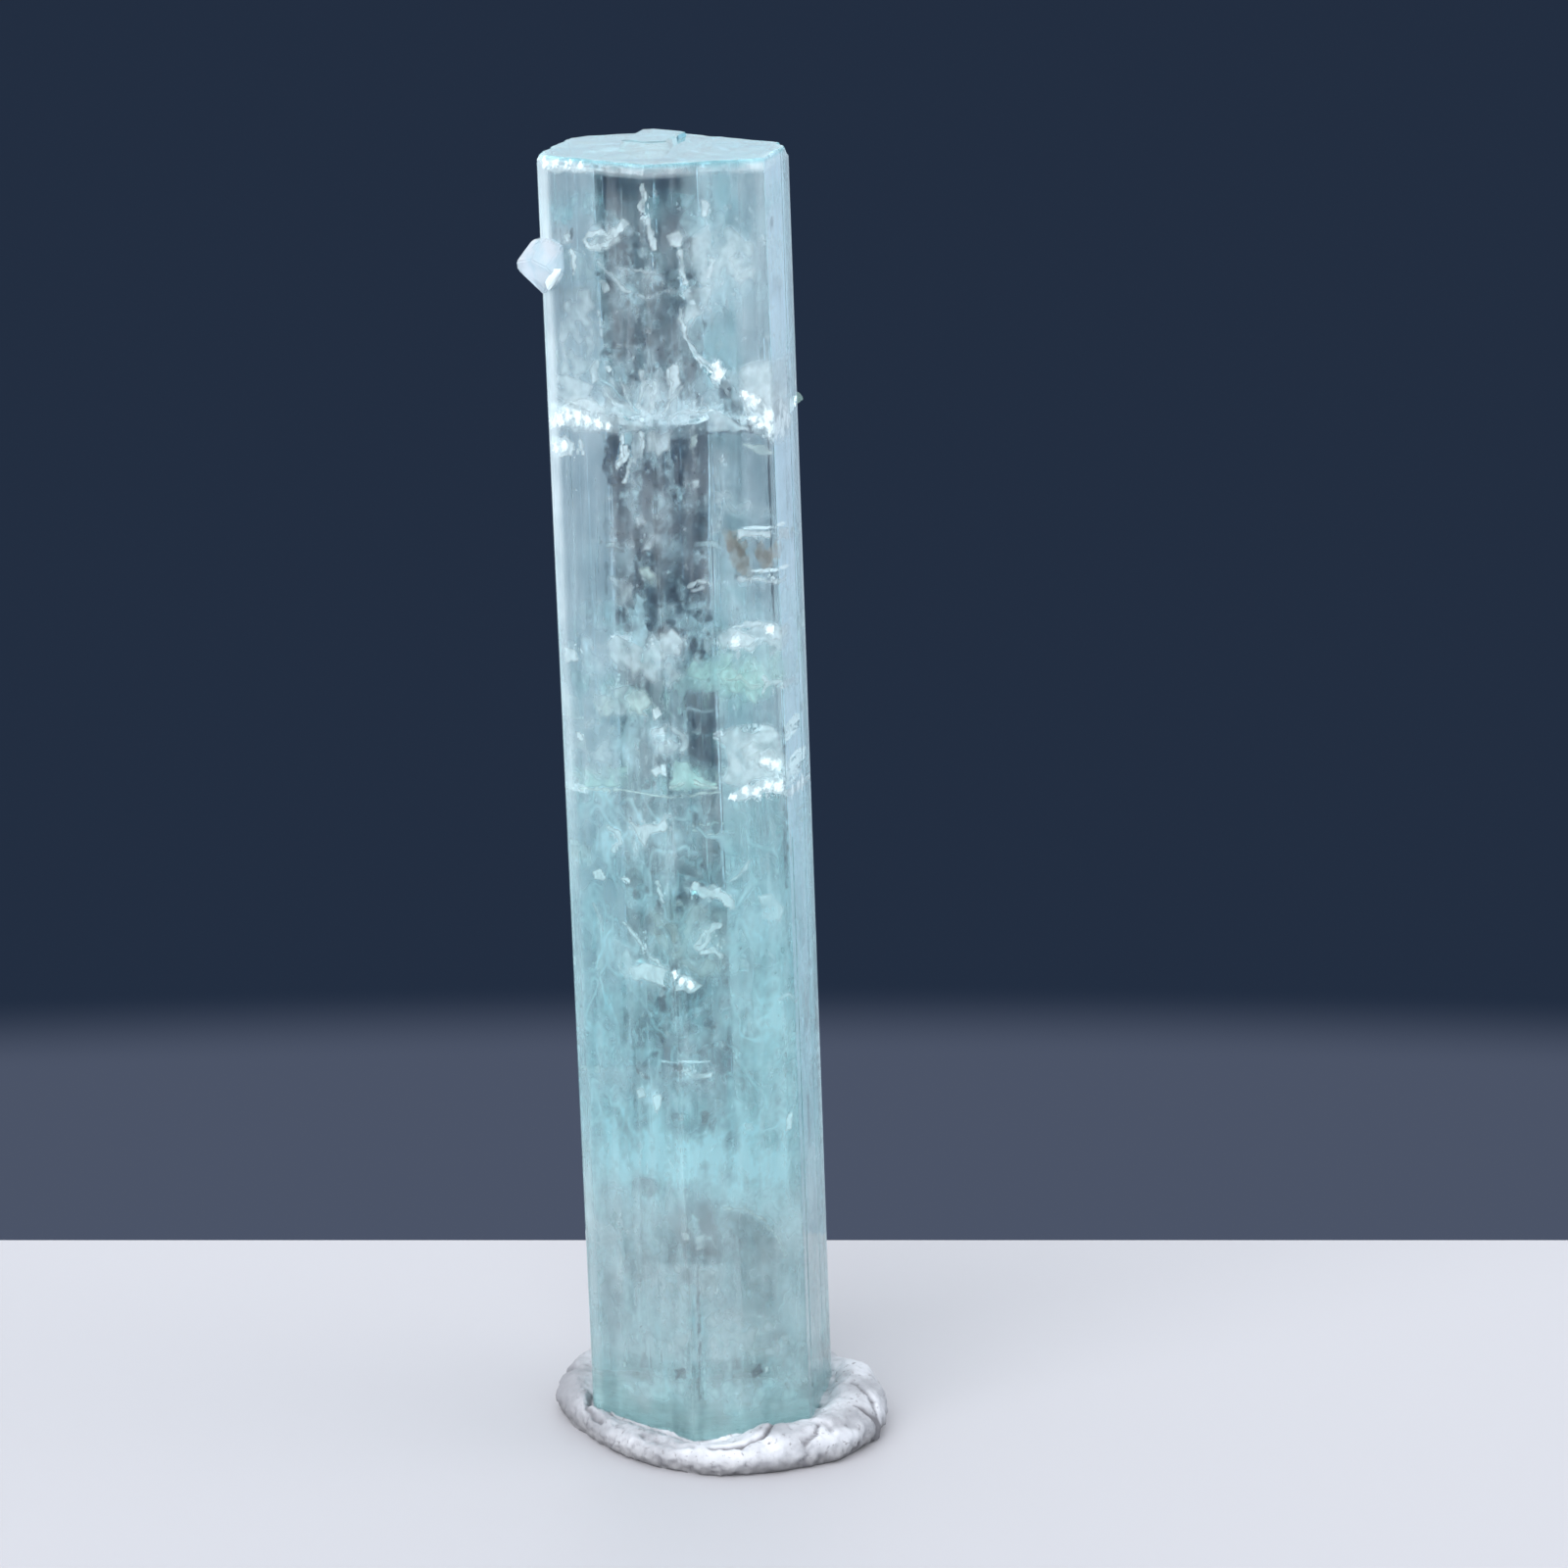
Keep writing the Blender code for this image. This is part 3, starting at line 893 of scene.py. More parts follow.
flaws = [
    basal(-3.55, 1.00, 48.50, (1.1, 1.6, 2.9, 2.2, 1.7, 1.9, 2.5, 1.9), 0.07, 1, tilt_back=0.05),
    basal(-4.75, 0.10, 47.25, (0.75, 0.8, 1.6, 1.0, 0.75, 0.75, 1.0, 0.8), 0.05, 2, rings=5, spokes=30,
          tilt_back=0.06),
    basal(3.15, 0.10, 48.25, (1.55, 2.0, 3.2, 2.3, 1.5, 1.6, 2.9, 2.0), 0.07, 3, tilt_back=0.05),
    basal(-0.15, 1.20, 48.55, (1.4, 2.2, 3.2, 2.4, 1.9, 2.4, 2.8, 1.9), 0.16, 4, tilt_back=0.03),
    basal(2.75, -0.50, 31.20, (1.7, 2.2, 3.4, 2.6, 1.7, 1.8, 2.6, 1.8), 0.07, 5, tilt_back=0.11),
    basal(2.10, 0.20, 33.10, (1.5, 1.6, 2.2, 1.8, 1.5, 1.4, 1.8, 1.5), 0.08, 6, tilt_back=0.10),
    basal(-4.40, 0.40, 30.60, (0.8, 1.0, 1.4, 1.0, 0.8, 0.8, 1.2, 0.9), 0.05, 7, rings=5),
    basal(3.40, -1.90, 43.30, (0.85, 0.5, 0.4, 0.6, 0.8, 0.5, 0.4, 0.5), 0.04, 8, rings=4, spokes=26),
    basal(3.70, -1.90, 41.25, (1.0, 0.6, 0.5, 0.7, 1.0, 0.6, 0.5, 0.6), 0.04, 9, rings=4, spokes=26),
    basal(-1.50, -2.30, 38.30, (1.3, 0.8, 0.7, 0.9, 1.3, 0.7, 0.5, 0.8), 0.08, 10, rings=5, spokes=30),
    basal(2.60, -2.00, 38.05, (1.1, 0.7, 0.6, 0.8, 1.1, 0.6, 0.5, 0.7), 0.07, 11, rings=5, spokes=30),
    basal(-0.50, -3.10, 17.95, (0.8, 0.4, 0.35, 0.5, 0.8, 0.4, 0.3, 0.4), 0.06, 12, rings=4, spokes=26),
]
print("basal cracks:", len(flaws))

# %% Curved cracks and feathers
flaws += [
    ribbon(((0.55, 56.8, 1.0), (0.85, 55.2, 1.3), (1.1, 54.2, 1.6), (0.8, 53.2, 1.8)),
           (0.2, 0.7, 0.9, 0.5), BACK + RIGHT * 0.5, 0.10, 21),
    ribbon(((0.75, 53.0, 0.9), (1.35, 51.7, 0.9), (2.05, 51.0, 0.9), (2.75, 50.2, 1.1),
            (3.4, 49.0, 1.3)),
           (0.3, 0.7, 1.1, 1.0, 0.6), BACK + RIGHT * 0.4, 0.10, 22),
    ribbon(((-2.1, 48.4, 0.7), (-2.4, 47.4, 0.8), (-2.75, 46.4, 0.9)),
           (0.5, 0.5, 0.2), RIGHT, 0.05, 23, steps=14),
    ribbon(((-1.6, 48.2, 0.7), (-1.9, 47.2, 0.8), (-2.2, 46.1, 0.9)),
           (0.6, 0.4, 0.2), RIGHT, 0.05, 24, steps=14),
    ribbon(((-0.3, 26.9, 1.0), (0.5, 26.5, 1.1), (0.9, 26.8, 1.1), (1.9, 25.7, 1.2)),
           (0.3, 0.7, 0.5, 0.8), BACK + UP * 0.5, 0.09, 25),
    ribbon(((0.2, 24.9, 1.2), (0.7, 24.5, 1.2), (0.5, 24.0, 1.3), (1.4, 23.7, 1.3)),
           (0.4, 0.6, 0.6, 0.4), BACK + UP * 0.4, 0.10, 26),
    ribbon(((-3.2, 25.0, 0.9), (-2.4, 24.0, 0.9), (-1.6, 22.9, 1.0)),
           (0.2, 0.35, 0.3), BACK, 0.04, 27, steps=16),
    ribbon(((-3.3, 23.1, 1.0), (-2.2, 22.9, 1.2), (-1.0, 22.3, 1.4), (0.0, 21.9, 1.4)),
           (0.6, 1.3, 1.5, 0.9), BACK + UP * 0.3, 0.14, 28, steps=34, lanes=7),
]
print("with curved cracks and feathers:", len(flaws))

# %% Growth tubes
TUBE_COUNT = 90
TUBE_MIDDLE, TUBE_SPREAD = (-0.7, -1.4), 2.0  # they gather in the heart, a little to the front
TUBE_FEET, TUBE_LENGTHS, TUBE_RADII = (12.0, 58.5), (0.6, 4.5), (0.012, 0.035)
TUBE_LIMIT, TUBE_COVER = 59.8, 0.5  # how high they reach, and how far in they stay


def grow_tubes():
    draw = random.Random(5)
    made = []
    while len(made) < TUBE_COUNT:
        place = Vector([draw.gauss(middle, TUBE_SPREAD) for middle in TUBE_MIDDLE])
        height = draw.uniform(*TUBE_FEET)
        if room(place) < TUBE_COVER:
            continue
        length = min(draw.uniform(*TUBE_LENGTHS), TUBE_LIMIT - height)
        made.append(tube((*place, height), length, draw.uniform(*TUBE_RADII), len(made)))
    return made


tubes = grow_tubes()
print("tubes:", len(tubes))

# %% [markdown]
# ## One glass body
#
# All hollows join the prism's own mesh as islands of their own. Blender's renderer then knows at
# every skin whether light leaves or enters the glass. The tubes that would cross a crack are left
# out first, because two hollows must not run through each other.

# %% Join the hollows to the prism
TUBE_SPACE = 0.00003
FACET_ANGLE = math.radians(4.0)  # steeper creases than this stay sharp


def box_of(points):
    return [[pick(p[i] for p in points) for i in range(3)] for pick in (min, max)]


def apart(one, other):
    """Whether two boxes are clear of each other."""
    pairs = ((one, other), (other, one))
    return any(a[1][i] + TUBE_SPACE < b[0][i] for i in range(3) for a, b in pairs)


def clear_tubes(tubes, cracks):
    kept, boxes = [], [box_of(points) for points, _ in cracks]
    for points, faces in tubes:
        own = box_of(points)
        if all(apart(own, box) for box in boxes):
            kept.append((points, faces))
            boxes.append(own)
    return kept


def join_hollows(body, hollows):
    """Adds each hollow with its faces turned to look into the gap."""
    bm = bmesh.new()
    bm.from_mesh(body.data)
    for points, faces in hollows:
        island = bmesh.new()
        verts = [island.verts.new(p) for p in points]
        for face in faces:
            island.faces.new([verts[i] for i in face])
        bmesh.ops.recalc_face_normals(island, faces=island.faces)
        if island.calc_volume(signed=True) > 0:
            bmesh.ops.reverse_faces(island, faces=island.faces)
        scrap = bpy.data.meshes.new("scrap")
        island.to_mesh(scrap)
        island.free()
        bm.from_mesh(scrap)
        bpy.data.meshes.remove(scrap)
    bm.to_mesh(body.data)
    bm.free()


tubes = clear_tubes(tubes, flaws)
join_hollows(prism, flaws + tubes)
prism.data.shade_smooth()
prism.data.set_sharp_from_angle(angle=FACET_ANGLE)
print("tubes kept:", len(tubes), "- glass body:", len(prism.data.polygons), "faces")

# %% [markdown]
# ## Worn edges
#
# Edges and the rim of the flat end are bruised from handling: they scatter light and look white. A
# number on each point of the mesh says how worn it is. It is worked out from the point's distance to
# the nearest edge of the prism, and the glass material reads it.

# %% Mark the worn points
EDGE_WEAR = (0.05, 0.20, 0.18, 0.20, 0.42, 0.03)  # of the flats after faces 1 to 6, at the upper end
LOWER_WEAR, WEAR_RISE = 0.30, (26.0, 44.0)  # the share that is left low down, and where it rises
WEAR_DEPTH = 0.6  # farther in nothing is worn
RIM_WEAR, RIM_DOWN, RIM_IN = 0.42, (0.35, 0.68), (0.12, 0.40)  # it fades out downwards and inwards
END_FADE = (0.05, 0.30)


def section_of(point):
    """Section place in mm and height in mm of a point of the frame."""
    raised = point - Vector((0.0, 0.0, FOOT_HEIGHT))
    height = raised.dot(AXIS)
    travel = raised.z / AXIS.z
    return Vector((raised.x - AXIS.x * travel, raised.y - AXIS.y * travel)) / MM, height / MM


def wear_at(point):
    """0 where the face is sound, towards 1 where an edge or the rim is bruised."""
    place, height = section_of(point)
    outer = room(place / (1 + SPREAD * height * MM / LENGTH))
    if outer > WEAR_DEPTH:
        return 0.0
    worn = 0.0
    fading = LOWER_WEAR + (1 - LOWER_WEAR) * step_up(height, *WEAR_RISE)
    for face in range(6):
        away = (place - corner(FACE_DISTANCES, face) / MM).length
        reach = 0.25 + 0.62 * EDGE_FLATS[face] / MM
        worn = max(worn, fading * EDGE_WEAR[face] * (1 - step_up(away, 0.6 * reach, 1.15 * reach)))
    below_end = (on_prism(place * MM, LENGTH, END_NORMAL) - point).dot(END_NORMAL) / MM
    rim = RIM_WEAR * (1 - step_up(below_end, *RIM_DOWN)) * (1 - step_up(outer, *RIM_IN))
    rim *= 0.75 + 0.6 * noise.noise(point / (1.6 * MM))
    return max(worn, rim)


def on_end(point):
    """1 on the flat end, 0 from the rim down."""
    below_end = (on_prism((0, 0), LENGTH, END_NORMAL) - point).dot(END_NORMAL) / MM
    return 1 - step_up(below_end, *END_FADE)


def mark(mesh, name, values):
    """Stores one number per point for the material to read."""
    mesh.attributes.new(name, "FLOAT", "POINT").data.foreach_set("value", values)


worn = [wear_at(v.co) for v in prism.data.vertices]
mark(prism.data, "worn", worn)
mark(prism.data, "flat_end", [on_end(v.co) for v in prism.data.vertices])
print("worn points:", sum(w > 0.3 for w in worn), "of", len(worn))

# %% [markdown]
# ## Beryl's glass
#
# Beryl bends light by an index of 1.577. Its colour here isn't even: icy and nearly colourless in
# the upper half, blue-green below, with a change at the middle crack. The colour sits in the base
# colour, which tints what passes through the faces. A weak absorption adds depth where the light
# goes a long way. The faces are a little etched, so a part of the light is scattered and not let
# through: the transmission weight says how much, in streaks along the prism.

# %% Mix the glass
BERYL_INDEX = 1.577
WAVINESS = 0.006  # how far the colour zones wander up and down, in metres
BERYL_ZONES = (  # height as a share of COLOUR_HEIGHT, and the colour there
    (0.03, (0.52, 0.86, 0.87)),
    (0.055, (0.57, 0.78, 0.80)),
    (0.09, (0.535, 0.67, 0.695)),
    (0.17, (0.485, 0.62, 0.645)),
    (0.225, (0.56, 0.80, 0.84)),
    (0.46, (0.65, 0.875, 0.91)),
    (0.515, (0.76, 0.935, 0.97)),
    (0.75, (0.81, 0.945, 1.0)),
    (0.97, (0.83, 0.95, 0.99)),
)
COLOUR_HEIGHT = 0.062
END_COLOUR = (0.205, 0.69, 0.785)

beryl, tree, shader = finish("green_beryl")
shader.inputs["IOR"].default_value = BERYL_INDEX
shader.inputs["Roughness"].default_value = 0.02
place = object_place(tree)
blotches = stretched_noise(tree, place, 420.0, 300.0, 4.0)
streaks = stretched_noise(tree, place, 1900.0, 120.0, 3.0)
wavy_height = math_node(tree, "ADD", height_of(tree, place), swing(tree, blotches, WAVINESS))
zone = node(tree, "ShaderNodeMapRange", Value=wavy_height)
zone.inputs["From Min"].default_value = 0.0
zone.inputs["From Max"].default_value = COLOUR_HEIGHT
zone = zone.outputs["Result"]
beryl_colour = blend(tree, marked(tree, "flat_end"), ramp(tree, zone, BERYL_ZONES), END_COLOUR)
print("zones of colour:", len(BERYL_ZONES))

# %% Etched streaks let less light through
CLEARNESS = ((0.03, 0.82), (0.14, 0.85), (0.19, 0.74), (0.26, 0.89),
             (0.50, 0.92), (0.56, 0.95), (0.98, 0.95))
STREAK_ETCH, BLOTCH_ETCH = 0.26, 0.36

clearness = ramp(tree, zone, [(share, (clear,) * 3) for share, clear in CLEARNESS])
etching = math_node(tree, "ADD", swing(tree, streaks, STREAK_ETCH), swing(tree, blotches, BLOTCH_ETCH))
through = clamped(tree, "SUBTRACT", clearness, etching)
print("steps of clearness:", len(CLEARNESS))

# %% [markdown]
# In front of bright cracks and on the left of the rim, the faces are painted white: a painted highlight
# for the light that those cracks and the rim mirror. The places are listed as balls in the section's
# coordinates. A point is the whiter, the deeper it lies in one of them, and a fine noise breaks the
# edge of the ball up into specks. Painting this on the mesh's points would need a far finer mesh, so
# the material works it out.

# %% Places of painted crack glare
CRACK_GLARE = (  # section place, height and reach in mm
    (-5.65, -1.90, 48.4, 0.50), (-5.3, -2.25, 48.7, 0.55), (-4.9, -2.62, 48.9, 0.55),
    (-4.4, -3.05, 48.85, 0.50), (-3.9, -3.53, 48.75, 0.42), (-3.45, -3.95, 48.68, 0.42),
    (-3.0, -4.37, 48.6, 0.32), (-5.5, -2.08, 47.25, 0.50), (-5.1, -2.42, 47.45, 0.40),
    (2.15, -5.26, 51.4, 0.34), (2.23, -5.24, 50.95, 0.42), (3.40, -4.86, 49.9, 0.34),
    (3.75, -4.75, 49.55, 0.48), (3.85, -4.71, 48.75, 0.36), (4.30, -4.57, 48.5, 0.50),
    (4.55, -4.48, 48.8, 0.55), (4.70, -4.25, 48.2, 0.60), (4.80, -3.90, 48.1, 0.65),
    (4.92, -3.30, 48.3, 0.70), (5.02, -2.70, 47.9, 0.75), (5.12, -2.10, 48.4, 0.75),
    (5.20, -1.50, 48.1, 0.65), (5.00, -2.90, 49.0, 0.55), (2.15, -5.26, 31.0, 0.30),
    (2.71, -5.08, 31.2, 0.36), (3.25, -4.90, 31.1, 0.36), (3.81, -4.72, 31.35, 0.42),
    (4.26, -4.58, 31.25, 0.42), (4.89, -3.35, 30.8, 0.45), (5.35, -1.19, 30.6, 0.55),
    (5.20, -2.00, 30.7, 0.50), (-5.5, -2.10, 60.65, 0.42), (-5.0, -2.58, 60.68, 0.40),
    (-4.4, -3.12, 60.68, 0.36), (-3.8, -3.66, 60.62, 0.30), (-0.95, -6.28, 22.72, 0.30),
    (-0.55, -6.16, 22.45, 0.34), (-0.20, -6.05, 22.2, 0.30), (2.50, -5.15, 38.35, 0.34),
    (4.20, -4.60, 38.75, 0.36), (3.75, -4.75, 32.6, 0.40), (4.20, -4.60, 32.3, 0.40),
)
print("crushed places:", len(CRACK_GLARE))

# %% Wear and painted crack glare on the glass
GLARE_GRAIN_SWING, GLARE_EDGE, GLARE_MOST = 2.6, (0.12, 0.75), 0.80
WORN_COLOUR, GLARE_COLOUR = (0.86, 0.98, 1.0), (0.77, 0.95, 0.99)


def nearness(tree, place, x, y, height, reach):
    """1 at the middle of a ball, 0 on its skin and below 0 outside."""
    middle = on_prism(Vector((x, y)) * MM, height * MM)
    away = node(tree, "ShaderNodeVectorMath", {"operation": "DISTANCE"}, _0=place, _1=middle)
    share = math_node(tree, "DIVIDE", away.outputs["Value"], reach * MM)
    return math_node(tree, "SUBTRACT", 1.0, share)


# painted highlight: the faces turn white and let less light through in front of bright cracks
crack_glare = nearness(tree, place, *CRACK_GLARE[0])
for ball in CRACK_GLARE[1:]:
    crack_glare = math_node(tree, "MAXIMUM", crack_glare, nearness(tree, place, *ball))
glare_grain = stretched_noise(tree, place, 4600.0, 4000.0, 4.0, 0.62, 0.5)
crack_glare = math_node(tree, "ADD", crack_glare, swing(tree, glare_grain, GLARE_GRAIN_SWING))
crack_glare = times(tree, eased(tree, crack_glare, *GLARE_EDGE), GLARE_MOST)
rubbed = math_node(tree, "ADD", times(tree, streaks, 0.7), math_node(tree, "ADD", 0.10, blotches))
# real wear of the edges and rim, and the painted crack glare, whiten the faces together
wear_and_glare = math_node(tree, "MAXIMUM", clamped(tree, "MULTIPLY", marked(tree, "worn"), rubbed), crack_glare)
free_of_wear_and_glare = math_node(tree, "SUBTRACT", 1.0, wear_and_glare)
tree.links.new(times(tree, through, free_of_wear_and_glare), shader.inputs["Transmission Weight"])
wear_and_glare_colour = blend(tree, crack_glare, WORN_COLOUR, GLARE_COLOUR)
tree.links.new(blend(tree, wear_and_glare, beryl_colour, wear_and_glare_colour), shader.inputs["Base Color"])
print("nodes in the glass so far:", len(tree.nodes))

# %% Fine growth relief and the absorption
RELIEF_STRENGTH, RELIEF_HEIGHT = 0.30, 0.00002
DEPTH_TINT, DEPTH_DENSITY = (0.55, 0.86, 0.84), 16.0

relief = stretched_noise(tree, place, 2600.0, 55.0, 4.0)
bump = node(tree, "ShaderNodeBump", Strength=RELIEF_STRENGTH, Distance=RELIEF_HEIGHT, Height=relief)
tree.links.new(bump.outputs[0], shader.inputs["Normal"])
tint = node(tree, "ShaderNodeVolumeAbsorption", Color=(*DEPTH_TINT, 1.0), Density=DEPTH_DENSITY)
tree.links.new(tint.outputs[0], tree.nodes["Material Output"].inputs["Volume"])
prism.data.materials.clear()
prism.data.materials.append(beryl)
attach(prism, "root")
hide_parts("crystal")
print("glass with index", BERYL_INDEX)

# %% [markdown]
# ## Veils
#
# A crack that heals while the crystal still grows leaves a veil: a thin curved sheet of tiny bubbles.
# Veils give this stone its pattern of white slivers, arcs, blotches and jagged bars. Each is listed by
# the outline in which it shows on the front, or by a line and its width. Smoky ones are sheets of
# dark specks. A map painted on the faces would look flat as soon as the crystal turns, sheets don't.

